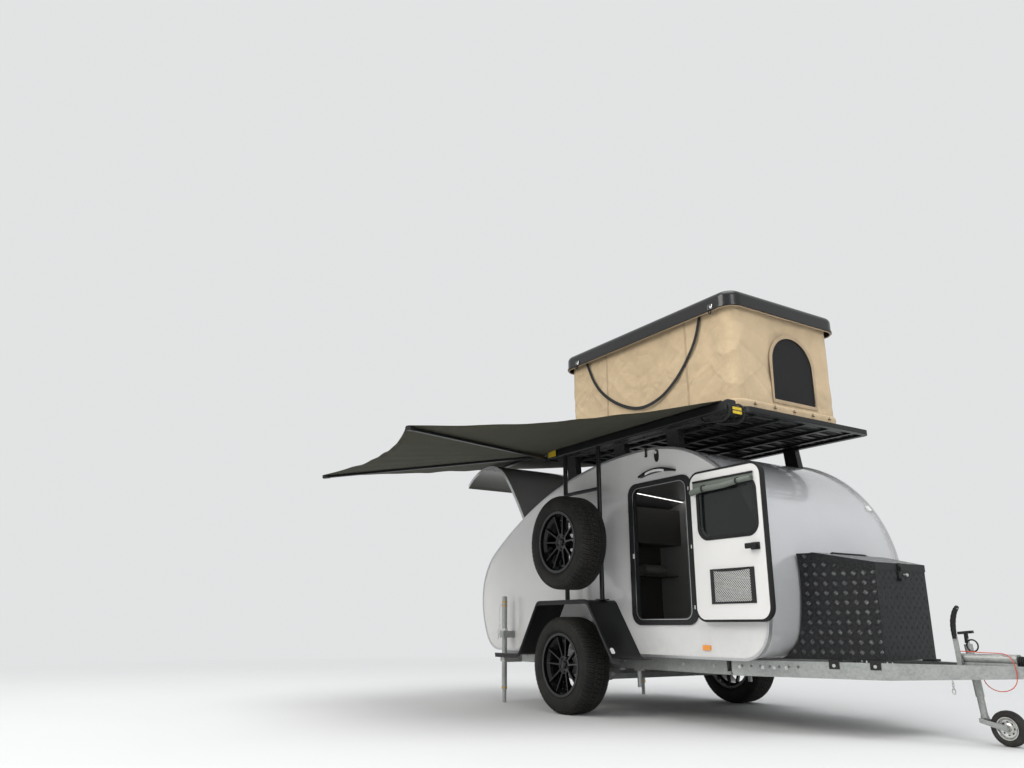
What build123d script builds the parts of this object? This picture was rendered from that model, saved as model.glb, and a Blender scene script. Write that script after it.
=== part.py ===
from build123d import *
from math import atan2, cos, degrees, hypot, radians, sin, tan
import os

# Teardrop camping trailer with a pop-up roof tent, a fan awning, a tool box on the drawbar
# and a spare wheel on its right side. Millimetres. +X is forward, towards the tow ball, +Y is
# the left side and +Z is up. The origin is the middle of the ball in the coupling head.
# As on a workshop drawing, places are given as stations from the axle and heights from the
# ground, and spot() turns them into the trailer's own frame.

# Where the drawing's datum lies
hitch_reach = 3270      # axle to tow ball
hitch_height = 430      # tow ball above the ground

# Body shell
body_half = 745
panel_thick = 28
skin_thick = 22
skin_inset = 12
floor_low = 445
floor_thick = 30
floor_rear = -1388
trim_proud = 3
trim_wide = 15
nose_start = 1617       # front end of the straight sill
body_arcs = [           # radius, turn in degrees, from the nose over the roof to the tail
    (230, 80),
    (1900, 10),
    (1035, 78),
    (1650, 11),
    (3870, 35),
    (515, 56),
    (700, 30),
    (252, 60),
]

# Wheels
tyre_radius = 367.5
bulge_radius = 292      # where the sidewall is widest
tyre_half = 127         # middle of the tyre to its widest point
tread_half = 84
casing = 21             # tread and carcass together
bead_radius = 228
flange_radius = 243
rim_width = 226
bead_half = rim_width / 2 - 9
hub_nose = 12           # grease cap past the rim's pad
wheel_out = 207         # body side to the middle of the tyre
hub_pad = 23            # middle of the tyre to where the rim bolts on
wheel_y = body_half + wheel_out
hub_face_y = wheel_y + hub_pad

# Tailgate
gate_hinge_x = -1000
gate_lip_z = 560
gate_thick = 30
gate_gap = 6
gate_open = 85          # degrees, as it stands

# Side doors
door_x = 890            # middle of the opening
door_z = 1210
opening_w = 580
opening_h = 1000
opening_r = 55
cutout_margin = 14
flange_w = 700
flange_h = 1080
flange_r = 95
flange_thick = 12
door_w = 665
door_h = 1035
door_r = 90
door_thick = 34
door_gap = 1.5
door_hinge_x = 1250
door_open = 180
hinge_pin_r = 5
hinge_barrel_r = 9
hinge_play = 0.06
window_w = 500
window_h = 350
window_r = 70
window_z = 1435

# Chassis
rail_high = 100
rail_wide = 40
rail_wall = 4
rail_in = 105           # body side to the outer face of a side member
rail_y = body_half - rail_in
chassis_rear = -1450
chassis_front = 1400
cross_wide = 50
cross_over = 40         # how far the front crossmember passes the side members
drawbar_tip_y = 38      # outer face at the drawbar's end
housing_half = 33
housing_long = 335
housing_back = 280      # its front end to the tow ball
housing_end = hitch_reach - housing_back
housing_start = housing_end - housing_long
drawbar_end = housing_end + 40
drawbar_start = chassis_front + cross_wide
drawbar_slope = (rail_y + cross_over - drawbar_tip_y) / (drawbar_end - drawbar_start)
drawbar_tip_high = 66
drawbar_taper_long = 670

# Axle
axle_x = 150
axle_z = 300
axle_flats = 84
stub_radius = 17
drum_radius = 118
drum_wide = 62
running_clearance = 0.06

# Roof load
rack_rear = -400
rack_front = 1780
rack_in = 35            # body side to the rack's edge
rack_half = body_half - rack_in
rack_low = 2112
rack_high = 2150
tent_rear = -412
tent_front = 1597
tent_half = 590
tent_corner = 100
tent_floor_z = 2150
tent_wall_low = 2242
tent_wall_high = 3061.7
canvas_thick = 8
soft_gap = 0.3
base_step = 12
lid_overhang = 46
lid_low = 2992
lid_high = 3122
tent_travel = 690

# Awning
hub_x = -420
hub_out = 123           # body side to the hub's axis
hub_y = -(body_half + hub_out)
arm_length = 2120
arm_wide = 34
arm_deep = 20
case_low = 2098
case_high = 2176
case_out = 47           # body side to the case
case_deep = 90
case_inner_y = body_half + case_out
case_outer_y = case_inner_y + case_deep
case_front = 1758
arms = [                # direction in degrees, height of the root, height of the tip
    (-62, 2118, 1960),
    (-132, 2142, 2005),
    (-199, 2178, 2385),
    (-262, 2204, 2340),
]

# Tool box
box_clear = 323         # box to the overrun housing
box_front = housing_start - box_clear
box_front_half = 272
box_slope = 0.357
box_low = 458
box_top_front = 1054
box_top_rear = 1134
box_hinge_x = 1962
box_wall = 3
lid_lip = 42


def spot(x, y, z):
    return (x - hitch_reach, y, z - hitch_height)


side_view = Plane(origin=spot(0, 0, 0), x_dir=(1, 0, 0), z_dir=(0, -1, 0))
plan_view = Plane(origin=spot(0, 0, 0))


def side_at(y):
    return side_view.offset(-y)


def plan_at(z):
    return plan_view.offset(z)


def front_at(x):
    return Plane(origin=spot(x, 0, 0), x_dir=(0, 1, 0), z_dir=(1, 0, 0))


def save(part, name):
    part.label = name
    export_step(part, f"parts/{name}.step")


def join(*pieces):
    return Compound(children=[solid for piece in pieces for solid in piece.solids()])


def mirrored(part):
    return part.mirror(Plane.XZ)


# Teardrop outline in the side view, grown or shrunk by inset
def teardrop(inset=0.0):
    with BuildSketch(Plane.XY) as outline:
        with BuildLine():
            start = (nose_start, floor_low)
            heading = (1, 0)
            first = None
            for radius, turn in body_arcs:
                arc = JernArc(start=start, tangent=heading, radius=radius, arc_size=turn)
                start = arc @ 1
                heading = arc % 1
                first = first or arc
            Line(start, first @ 0)
        make_face()
        if inset:
            offset(amount=-inset, kind=Kind.ARC)
    return outline.sketch


body_face = teardrop()
skin_face = teardrop(skin_inset)
liner_face = teardrop(skin_inset + skin_thick)
inner_half = body_half - panel_thick


# Height of the outline over a station, found on a cut through the face
def roof_height(x, face):
    cut = face & Rectangle(2, 6000).moved(Location((x, 0, 0)))
    return cut.bounding_box().max.Y


gate_hinge_z = roof_height(gate_hinge_x, body_face) - skin_inset - 6


# Chassis

with BuildPart() as member:
    with BuildSketch(front_at(chassis_rear)):
        with Locations((-rail_y + rail_wide / 2, floor_low - rail_high / 2)):
            Rectangle(rail_wide, rail_high)
        with Locations((-rail_y + rail_wide / 2 + rail_wall, floor_low - rail_high / 2)):
            Rectangle(rail_wide, rail_high - 2 * rail_wall, mode=Mode.SUBTRACT)
    extrude(amount=chassis_front - chassis_rear)
    with BuildSketch(plan_at(floor_low - rail_high)):
        with Locations((440, -rail_y + rail_wide / 2)):
            Rectangle(70, rail_wide)
    extrude(amount=-14)
    with BuildSketch(plan_at(floor_low - rail_high - 14)):
        with Locations((440, -rail_y + rail_wide / 2)):
            Circle(17)
    extrude(amount=-120)

save(join(member.part, mirrored(member.part)), "side_members")

cross_stations = [-1400, -560, 620, chassis_front + cross_wide / 2]

with BuildPart() as crossmembers:
    for station in cross_stations:
        is_front = station > chassis_front
        half = rail_y + cross_over if is_front else rail_y - rail_wide
        with Locations(spot(station, 0, floor_low - 40)):
            Box(cross_wide, 2 * half, 80)
            Box(cross_wide - 8, 2 * half + 2, 72, mode=Mode.SUBTRACT)

save(crossmembers.part, "crossmembers")

# One leg of the drawbar, a channel with its open side towards the middle
drawbar_angle = degrees(atan2(drawbar_slope, 1))


def drawbar_y(x):
    return drawbar_tip_y + (drawbar_end - x) * drawbar_slope


leg_plane = Plane(
    origin=spot(drawbar_start, -drawbar_y(drawbar_start), 0),
    x_dir=(cos(radians(drawbar_angle)), sin(radians(drawbar_angle)), 0),
    z_dir=(sin(radians(drawbar_angle)), -cos(radians(drawbar_angle)), 0),
)
leg_scale = 1 / cos(radians(drawbar_angle))
leg_long = (drawbar_end - drawbar_start) * leg_scale
leg_taper = leg_long - drawbar_taper_long * leg_scale

with BuildPart() as leg:
    with BuildSketch(leg_plane):
        Polygon(
            (-30, floor_low - rail_high),
            (leg_taper, floor_low - rail_high),
            (leg_long, floor_low - drawbar_tip_high),
            (leg_long, floor_low),
            (-30, floor_low),
            align=None,
        )
    extrude(amount=-rail_wide)
    with BuildSketch(leg_plane.offset(-rail_wall)):
        Polygon(
            (-60, floor_low - rail_high + rail_wall),
            (leg_taper, floor_low - rail_high + rail_wall),
            (leg_long + 20, floor_low - drawbar_tip_high + rail_wall),
            (leg_long + 20, floor_low - rail_wall),
            (-60, floor_low - rail_wall),
            align=None,
        )
    extrude(amount=-rail_wide, mode=Mode.SUBTRACT)
    with Locations(leg_plane):
        with Locations([(70 + 62 * i, floor_low - 36, 0) for i in range(7)]):
            Hole(radius=9, depth=12)
    with Locations(spot(drawbar_start - 200, -drawbar_y(drawbar_start), floor_low - 60)):
        Box(400, 400, 300, mode=Mode.SUBTRACT)
    with Locations(spot(housing_start + 500, 0, floor_low - rail_high / 2)):
        Box(1000, 2 * housing_half, 2 * rail_high, mode=Mode.SUBTRACT)

save(join(leg.part, mirrored(leg.part)), "drawbar_legs")

# Rubber-sprung axle: a hexagonal tube, and trailing arms with their stub axles
with BuildPart() as axle_beam:
    with BuildSketch(side_at(rail_y + 30)):
        with Locations((axle_x, axle_z)):
            RegularPolygon(axle_flats / 2, 6, major_radius=False)
    extrude(amount=2 * (rail_y + 30))
    for side in (-1, 1):
        with Locations(spot(axle_x, side * (rail_y - rail_wide / 2), floor_low - rail_high - 8)):
            Box(190, rail_wide + 14, 16)

save(axle_beam.part, "axle_beam")

arm_y = rail_y + 30
with BuildPart() as swing_arm:
    with BuildSketch(side_at(-arm_y)):
        with BuildLine():
            reach = hypot(axle_x, tyre_radius - axle_z)
            lean = degrees(atan2(tyre_radius - axle_z, -axle_x))
            run = Vector(cos(radians(lean)), sin(radians(lean)))
            across = Vector(-run.Y, run.X)
            hub_point = Vector(0, tyre_radius)
            root_point = Vector(axle_x, axle_z)
            Polyline(
                root_point + across * 46,
                hub_point + across * 34,
                hub_point - across * 34,
                root_point - across * 46,
                close=True,
            )
        make_face()
        with Locations((0, tyre_radius)):
            Circle(36)
        with Locations((axle_x, axle_z)):
            Circle(50)
    extrude(amount=36)
    with BuildSketch(side_at(-arm_y - 36)):
        with Locations((0, tyre_radius)):
            Circle(28)
    extrude(amount=150)
    with BuildSketch(side_at(-arm_y - 186)):
        with Locations((0, tyre_radius)):
            Circle(drum_radius + 6)
            Circle(24, mode=Mode.SUBTRACT)
    extrude(amount=6)
    with BuildSketch(side_at(-arm_y - 186)):
        with Locations((0, tyre_radius)):
            Circle(stub_radius)
    extrude(amount=hub_face_y + 6 - arm_y - 186)

save(join(swing_arm.part, mirrored(swing_arm.part)), "swing_arms")

drum_start = arm_y + 186 + 6 + 3

with BuildPart() as hub:
    with BuildSketch(side_at(-drum_start)):
        with Locations((0, tyre_radius)):
            Circle(drum_radius)
    extrude(amount=drum_wide)
    with BuildSketch(side_at(-drum_start)):
        with Locations((0, tyre_radius)):
            Circle(drum_radius - 10)
            Circle(60, mode=Mode.SUBTRACT)
    extrude(amount=drum_wide - 12, mode=Mode.SUBTRACT)
    with BuildSketch(side_at(-drum_start - drum_wide)):
        with Locations((0, tyre_radius)):
            Circle(72)
    extrude(amount=hub_face_y - drum_start - drum_wide)
    with BuildSketch(side_at(-hub_face_y)):
        with Locations((0, tyre_radius)):
            Circle(31)
    extrude(amount=hub_nose)
    with BuildSketch(side_at(-drum_start)):
        with Locations((0, tyre_radius)):
            Circle(stub_radius + running_clearance)
    extrude(amount=hub_face_y + 7 - drum_start, mode=Mode.SUBTRACT)


# A tyre about the Y axis through the wheel's middle, outer side towards -Y

def make_tyre():
    outside = [                 # distance out from the middle, radius
        (bead_half, bead_radius),
        (bead_half + 0.6, flange_radius + 1),
        (bead_half + 13, flange_radius + 12),
        (tyre_half, bulge_radius),
        (tyre_half - 4, bulge_radius + 34),
        (tread_half + 24, tyre_radius - 8),
        (tread_half, tyre_radius),
    ]
    inside = [
        (bead_half - 14, bead_radius),
        (bead_half - 4, flange_radius + 20),
        (tyre_half - 15, bulge_radius),
        (tread_half + 10, tyre_radius - casing),
    ]
    with BuildPart() as tyre:
        with BuildSketch(Plane.XY):
            with BuildLine():
                Polyline(
                    *[(-out, radius) for out, radius in outside],
                    *reversed(outside),
                    *inside,
                    *[(-out, radius) for out, radius in reversed(inside)],
                    close=True,
                )
            make_face()
        revolve(axis=Axis.X)
    return tyre.part


# A split-spoke alloy rim about the X axis, its face towards +X. The spokes run in pairs from
# a dished hub to the barrel, and taper towards their fronts.
spoke_pairs = 5
spoke_thick = 40
spoke_wide = 21
spoke_root = 40         # radius where a pair leaves the hub
spoke_gap = 5           # between the two of a pair at the root
tip_gap = 96            # between the two of a pair at the barrel
spoke_taper = 9         # degrees
rim_dish = 26           # how far the hub lies behind the spokes' tips
rim_face = rim_width / 2 - 20
barrel_radius = bead_radius - 30
cap_radius = 30
bolt_circle = 52
bolt_bore = 8
centre_bore = 32.5


def make_rim():
    half = rim_width / 2
    well = [                    # distance out from the middle, radius
        (half, flange_radius),
        (half - 8, flange_radius),
        (bead_half, bead_radius),
        (half - 33, bead_radius - 1),
        (half - 53, barrel_radius + 8),
    ]
    bore = [
        (half, bead_radius - 6),
        (half - 29, bead_radius - 10),
        (half - 49, barrel_radius),
    ]
    with BuildPart() as rim:
        with BuildSketch(Plane.YZ.offset(rim_face - spoke_thick)):
            with PolarLocations(0, spoke_pairs, start_angle=90):
                for side in (-1, 1):
                    Polygon(
                        (spoke_root, side * spoke_gap / 2),
                        (spoke_root, side * (spoke_gap / 2 + spoke_wide)),
                        (bead_radius - 12, side * (tip_gap / 2 + spoke_wide)),
                        (bead_radius - 12, side * tip_gap / 2),
                        align=None,
                    )
        extrude(amount=spoke_thick, taper=spoke_taper)
        with BuildSketch(Plane.YZ.offset(hub_pad)):
            Circle(spoke_root + spoke_wide + 6)
        extrude(amount=rim_face - hub_pad)
        with BuildSketch(Plane.XY):
            with BuildLine():
                Polyline((rim_face - rim_dish, 0), (rim_face - rim_dish, spoke_root), (rim_face - rim_dish + 2, spoke_root + 8))
                ThreePointArc(
                    (rim_face - rim_dish + 2, spoke_root + 8),
                    (rim_face - rim_dish * 0.55, spoke_root + 80),
                    (rim_face, bead_radius - 14),
                )
                Polyline((rim_face, bead_radius - 14), (rim_face + 1, bead_radius - 14), (rim_face + 1, 0), (rim_face - rim_dish, 0))
            make_face()
        revolve(axis=Axis.X, mode=Mode.SUBTRACT)
        with Locations(Plane.YZ.offset(rim_face - rim_dish)):
            with PolarLocations(bolt_circle, spoke_pairs, start_angle=126):
                Hole(radius=bolt_bore, depth=2 * rim_dish)
        with BuildSketch(Plane.YZ.offset(hub_pad)):
            Circle(centre_bore)
        extrude(amount=hub_nose + 2, mode=Mode.SUBTRACT)
        with BuildSketch(Plane.YZ.offset(hub_pad + hub_nose + 2)):
            Circle(cap_radius)
        extrude(amount=rim_face - rim_dish + 5 - hub_pad - hub_nose - 2)
        with BuildSketch(Plane.XY):
            with BuildLine():
                Polyline(
                    *[(-out, radius) for out, radius in well],
                    *reversed(well),
                    *bore,
                    *[(-out, radius) for out, radius in reversed(bore)],
                    close=True,
                )
            make_face()
        revolve(axis=Axis.X)
    return rim.part


tyre_shape = make_tyre()
rim_shape = make_rim()
to_right = Location(spot(0, -wheel_y, tyre_radius), (0, 0, -90))
tyre_right = tyre_shape.moved(to_right)
rim_right = rim_shape.moved(to_right)

save(tyre_right, "tyre_right")
save(rim_right, "rim_right")
save(hub.part, "hub_right")
save(mirrored(tyre_right), "tyre_left")
save(mirrored(rim_right), "rim_left")
save(mirrored(hub.part), "hub_left")

# Spare wheel on its carrier over the right mudguard
spare_x = 198
spare_z = 1304
spare_out = 364.5       # body side to the middle of the spare tyre
spare_y = -(body_half + spare_out)
to_spare = Location(spot(spare_x, spare_y, spare_z), (0, 0, -90))
save(tyre_shape.moved(to_spare), "spare_tyre")
save(rim_shape.moved(to_spare), "spare_rim")

guard_top = 860
post_out = 117          # body side to the carrier's posts
post_y = -(body_half + post_out)
post_stations = [-150, 310]
post_radius = 19
spare_pad_y = spare_y - hub_pad

with BuildPart() as spare_carrier:
    with Locations([spot(x, post_y, guard_top) for x in post_stations]):
        Box(90, 70, 8, align=(Align.CENTER, Align.CENTER, Align.MIN))
        Cylinder(post_radius, case_low - guard_top, align=(Align.CENTER, Align.CENTER, Align.MIN))
    for height in (1180, 1428, 1750):
        with BuildSketch(Plane(origin=spot(post_stations[0], post_y, height), z_dir=(1, 0, 0))):
            Circle(15)
        extrude(amount=post_stations[1] - post_stations[0])
    with Locations(spot(spare_x, post_y - 15, spare_z)):
        Box(130, 12, 290)
    with BuildSketch(side_at(post_y - 18)):
        with Locations((spare_x, spare_z)):
            Circle(44)
    extrude(amount=post_y - 18 - spare_pad_y - 10)
    with BuildSketch(side_at(spare_pad_y + 10)):
        with Locations((spare_x, spare_z)):
            Circle(76)
    extrude(amount=10)
    with BuildSketch(side_at(spare_pad_y)):
        with Locations((spare_x, spare_z)):
            Circle(31)
    extrude(amount=hub_nose)

save(spare_carrier.part, "spare_carrier")

# Mudguards: a formed sheet with a turned-down outer edge and a foot at each end
guard_past = 93         # middle of the tyre to the guard's outer face
guard_outer = wheel_y + guard_past
guard_sheet = 5
guard_lip = 26
guard_roll = 8          # radius of the rolled edge
guard_bend = 58
guard_path = [
    (-1000, 425),
    (-625, 425),
    (-335, guard_top - guard_sheet),
    (335, guard_top - guard_sheet),
    (625, 425),
    (730, 425),
]


guard_inner = body_half + trim_proud + 0.3

with BuildPart() as guard:
    with BuildSketch(side_at(-guard_inner)):
        with BuildLine():
            upper = FilletPolyline(*[(x, z + guard_sheet) for x, z in guard_path], radius=guard_bend)
            lower = FilletPolyline(*[(x, z) for x, z in reversed(guard_path)], radius=guard_bend - guard_sheet)
            Line(upper @ 1, lower @ 0)
            Line(lower @ 1, upper @ 0)
        make_face()
    extrude(amount=guard_outer - guard_inner)
    with BuildSketch(side_at(-guard_outer + guard_sheet)):
        with BuildLine():
            upper = FilletPolyline(*[(x, z + guard_sheet) for x, z in guard_path], radius=guard_bend)
            lower = FilletPolyline(*[(x, z - guard_lip) for x, z in reversed(guard_path)], radius=guard_bend - 18)
            Line(upper @ 1, lower @ 0)
            Line(lower @ 1, upper @ 0)
        make_face()
    extrude(amount=guard_sheet)
    with BuildLine(side_at(-guard_outer + 3)) as guard_edge:
        FilletPolyline(*[(x, z + guard_sheet - 3) for x, z in guard_path], radius=guard_bend - 3)
    with BuildSketch(Plane(origin=guard_edge.line @ 0, z_dir=guard_edge.line % 0)):
        Circle(guard_roll)
    sweep()

save(join(guard.part, mirrored(guard.part)), "mudguards")


# Body shell

with BuildPart() as side_panel:
    with BuildSketch(side_at(-inner_half)):
        add(body_face)
    extrude(amount=panel_thick)
    with BuildSketch(side_at(-inner_half + 10)):
        with Locations((door_x, door_z)):
            RectangleRounded(
                opening_w + 2 * cutout_margin,
                opening_h + 2 * cutout_margin,
                opening_r + cutout_margin,
            )
    extrude(amount=panel_thick + 20, mode=Mode.SUBTRACT)

save(side_panel.part, "side_panel_right")
save(mirrored(side_panel.part), "side_panel_left")

# The frame's edges clip over the panel round the opening and carry the hinge pins
pin_y = -(body_half + flange_thick + door_gap + door_thick - 6.5)
hinge_heights = [790, 1210, 1630]
leaf_high = 26

with BuildPart() as door_frame:
    with BuildSketch(side_at(-body_half)):
        with Locations((door_x, door_z)):
            RectangleRounded(flange_w, flange_h, flange_r)
            RectangleRounded(opening_w, opening_h, opening_r, mode=Mode.SUBTRACT)
    extrude(amount=flange_thick)
    with BuildSketch(side_at(-inner_half)):
        with Locations((door_x, door_z)):
            RectangleRounded(
                opening_w + 2 * cutout_margin,
                opening_h + 2 * cutout_margin,
                opening_r + cutout_margin,
            )
            RectangleRounded(opening_w, opening_h, opening_r, mode=Mode.SUBTRACT)
    extrude(amount=panel_thick)
    for height in hinge_heights:
        with Locations(spot(door_hinge_x, pin_y, height)):
            Cylinder(hinge_pin_r, 3 * leaf_high)
        for step in (-1, 1):
            with Locations(spot(door_hinge_x, pin_y, height + step * leaf_high)):
                Cylinder(hinge_barrel_r, leaf_high - 1)
                leaf_reach = door_hinge_x - door_x - flange_w / 2 + 8
            with BuildSketch(plan_at(height + step * leaf_high - leaf_high / 2 + 0.5)):
                with BuildLine():
                    Polyline(
                        (door_hinge_x - leaf_reach, -body_half - flange_thick + 3),
                        (door_hinge_x + 4, -body_half - flange_thick + 3),
                        (door_hinge_x + 4, pin_y),
                        (door_hinge_x - 4, pin_y),
                        (door_hinge_x - 4, -body_half - flange_thick - 3),
                        (door_hinge_x - leaf_reach, -body_half - flange_thick - 3),
                        close=True,
                    )
                make_face()
            extrude(amount=leaf_high - 1)

save(join(door_frame.part, mirrored(door_frame.part)), "door_frames")


# A door closed in its right-hand frame: a panel with a window cut and a rubber edge
door_outer_y = -(body_half + flange_thick + door_gap + door_thick)

with BuildPart() as door:
    with BuildSketch(side_at(door_outer_y + door_thick)):
        with Locations((door_x, door_z)):
            RectangleRounded(door_w, door_h, door_r)
    extrude(amount=door_thick)
    with BuildSketch(side_at(door_outer_y + door_thick + 5)):
        with Locations((door_x - 10, window_z)):
            RectangleRounded(window_w, window_h, window_r)
    extrude(amount=door_thick + 10, mode=Mode.SUBTRACT)
    for height in hinge_heights:
        with BuildSketch(plan_at(height - leaf_high / 2 + 0.5)):
            with Locations((door_hinge_x, pin_y)):
                Circle(hinge_barrel_r)
            with BuildLine():
                Polyline(
                    (door_x + door_w / 2 - 4, pin_y - 3),
                    (door_x + door_w / 2 - 4, pin_y + 3),
                    (door_hinge_x, pin_y + 3),
                    (door_hinge_x, pin_y - 3),
                    close=True,
                )
            make_face()
        extrude(amount=leaf_high - 1)
        with Locations(spot(door_hinge_x, pin_y, height)):
            Cylinder(hinge_pin_r + hinge_play, leaf_high + 4, mode=Mode.SUBTRACT)
    with Locations(spot(door_x - door_w / 2 + 58, door_outer_y, 1190)):
        Box(70, 36, 110)

glass_thick = 5
frame_ring = 24

with BuildPart() as window:
    with BuildSketch(side_at(door_outer_y + door_thick)):
        with Locations((door_x - 10, window_z)):
            RectangleRounded(window_w, window_h, window_r)
            RectangleRounded(
                window_w - 2 * frame_ring,
                window_h - 2 * frame_ring,
                window_r - frame_ring,
                mode=Mode.SUBTRACT,
            )
    extrude(amount=door_thick)
    with BuildSketch(side_at(door_outer_y + door_thick / 2 + glass_thick / 2)):
        with Locations((door_x - 10, window_z)):
            RectangleRounded(window_w - 10, window_h - 10, window_r - 5)
    extrude(amount=glass_thick)

hinge_line = Axis(spot(door_hinge_x, pin_y, 0), (0, 0, 1))
save(door.part.rotate(hinge_line, door_open), "door_right")
save(window.part.rotate(hinge_line, door_open), "door_window_right")
save(mirrored(door.part), "door_left")
save(mirrored(window.part), "door_window_left")

# Trim along the edge of each side panel, an angle section
with BuildPart() as edge_trim:
    with BuildSketch(side_at(-body_half)):
        add(teardrop(-trim_proud))
        add(teardrop(trim_wide), mode=Mode.SUBTRACT)
    extrude(amount=trim_proud)
    with BuildSketch(side_at(-inner_half)):
        add(teardrop(-trim_proud))
        add(body_face, mode=Mode.SUBTRACT)
    extrude(amount=panel_thick)

save(join(edge_trim.part, mirrored(edge_trim.part)), "edge_trims")

# The tailgate's hinge has seven knuckles: the odd ones sit on the roof, the even ones on the gate
knuckle_long = (2 * inner_half - 34) / 7
knuckle_gap = 2
knuckle_radius = 6
knuckle_pin = 3.5
knuckle_notch = 8


def knuckles(radius, places, grow=0.0):
    with BuildPart() as row:
        for place in places:
            middle = (place - 3) * knuckle_long
            half = (knuckle_long - knuckle_gap) / 2 + grow
            with BuildSketch(side_at(middle + half)):
                with Locations((gate_hinge_x, gate_hinge_z)):
                    Circle(radius)
            extrude(amount=2 * half)
    return row.part


roof_knuckles = knuckles(knuckle_radius, (0, 2, 4, 6))
gate_knuckles = knuckles(knuckle_radius, (1, 3, 5))
roof_notches = knuckles(knuckle_notch, (0, 2, 4, 6), knuckle_gap)
gate_notches = knuckles(knuckle_notch, (1, 3, 5), knuckle_gap)
hinge_bore = knuckles(knuckle_pin + hinge_play, (1, 3, 5), knuckle_gap)
hinge_rod = knuckles(knuckle_pin, (1, 3, 5), knuckle_gap)

# Roof and front skin, from the front of the floor to the tailgate's hinge
with BuildPart() as roof_skin:
    with BuildSketch(side_at(-inner_half)):
        add(skin_face)
        add(liner_face, mode=Mode.SUBTRACT)
    extrude(amount=-2 * inner_half)
    with Locations(spot(nose_start - 4000, 0, floor_low)):
        Box(8000, 4000, 120, mode=Mode.SUBTRACT)
    with Locations(spot(gate_hinge_x + gate_gap / 2 - 2000, 0, 1500)):
        Box(4000, 4000, 4000, mode=Mode.SUBTRACT)
    add(gate_notches, mode=Mode.SUBTRACT)
    add(roof_knuckles)
    add(hinge_rod)

save(roof_skin.part, "roof_skin")

with BuildPart() as floor_panel:
    with Locations(spot((nose_start - 5 + floor_rear) / 2, 0, floor_low + floor_thick / 2)):
        Box(nose_start - 5 - floor_rear, 2 * inner_half, floor_thick)

save(floor_panel.part, "floor_panel")

with BuildPart() as tail_skirt:
    with BuildSketch(side_at(-inner_half)):
        add(skin_face)
        add(liner_face, mode=Mode.SUBTRACT)
    extrude(amount=-2 * inner_half)
    with Locations(spot(0, 0, gate_lip_z - gate_gap + 2000)):
        Box(8000, 4000, 4000, mode=Mode.SUBTRACT)
    with Locations(spot(floor_rear + 3000, 0, 0)):
        Box(6000, 4000, 4000, mode=Mode.SUBTRACT)

save(tail_skirt.part, "tail_skirt")

# Tailgate, modelled closed and then swung up about its hinge
gate_half = inner_half - 5

with BuildPart() as tailgate:
    with BuildSketch(side_at(-gate_half)):
        add(skin_face)
        add(teardrop(skin_inset + gate_thick), mode=Mode.SUBTRACT)
    extrude(amount=-2 * gate_half)
    with Locations(spot(gate_hinge_x - gate_gap / 2 + 3000, 0, 1500)):
        Box(6000, 4000, 4000, mode=Mode.SUBTRACT)
    with Locations(spot(0, 0, gate_lip_z - 2000)):
        Box(8000, 4000, 4000, mode=Mode.SUBTRACT)
    add(roof_notches, mode=Mode.SUBTRACT)
    add(gate_knuckles)
    add(hinge_bore, mode=Mode.SUBTRACT)

gate_line = Axis(spot(gate_hinge_x, 0, gate_hinge_z), (0, 1, 0))
save(tailgate.part.rotate(gate_line, gate_open), "tailgate")

# Cabin and galley
bulkhead_x = -690
bulkhead_thick = 15
board = 16
cabinet_x = -1430
worktop_z = 890
cupboard_pitch = 460
drawer_heights = [600, 772]
drawer_high = 164

with BuildPart() as galley:
    with BuildSketch(side_at(-inner_half + 0.5)):
        add(teardrop(skin_inset + gate_thick + gate_gap))
        with Locations(((bulkhead_x + floor_rear) / 2, floor_low + floor_thick + board)):
            Rectangle(bulkhead_x - floor_rear - 20, 2 * board)
    extrude(amount=-2 * inner_half + 1)
    with Locations(spot(bulkhead_x + 2000, 0, 1500)):
        Box(4000, 4000, 4000, mode=Mode.SUBTRACT)
    with Locations(spot(0, 0, floor_low + floor_thick - 2000)):
        Box(8000, 4000, 4000, mode=Mode.SUBTRACT)
    with Locations(spot(bulkhead_x - bulkhead_thick - 2000, 0, worktop_z + 20 + 2000)):
        Box(4000, 4000, 4000, mode=Mode.SUBTRACT)
    with Locations(spot(cabinet_x - 2000, 0, worktop_z - 2000)):
        Box(4000, 4000, 4000, mode=Mode.SUBTRACT)
    with Locations(spot((bulkhead_x - bulkhead_thick + cabinet_x + 15) / 2, 0, 0)):
        Box(bulkhead_x - bulkhead_thick - cabinet_x - 15, 2 * inner_half - 30, 2 * worktop_z, mode=Mode.SUBTRACT)
    with Locations(spot(-1640 - 500, 0, 900)):
        Box(1000, 4000, 400, mode=Mode.SUBTRACT)

    for middle in (-1, 0, 1):
        with BuildSketch(front_at(cabinet_x - 5)):
            with Locations((middle * cupboard_pitch, (floor_low + floor_thick + worktop_z) / 2)):
                RectangleRounded(cupboard_pitch - 60, worktop_z - floor_low - floor_thick - 90, 30)
        extrude(amount=30, mode=Mode.SUBTRACT)
    for height in drawer_heights:
        with BuildSketch(front_at(cabinet_x)):
            with Locations((-cupboard_pitch, height)):
                RectangleRounded(cupboard_pitch - 40, drawer_high, 12)
                with Locations((0, drawer_high / 2 - 24)):
                    SlotOverall(120, 24, mode=Mode.SUBTRACT)
        extrude(amount=-14)

save(galley.part, "galley")

mattress_in = 12
mattress_thick = 120

with BuildPart() as mattress:
    with Locations(spot(460, 0, floor_low + floor_thick + soft_gap + mattress_thick / 2)):
        Box(2250, 2 * inner_half - 2 * mattress_in, mattress_thick)

save(mattress.part, "mattress")

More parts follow.
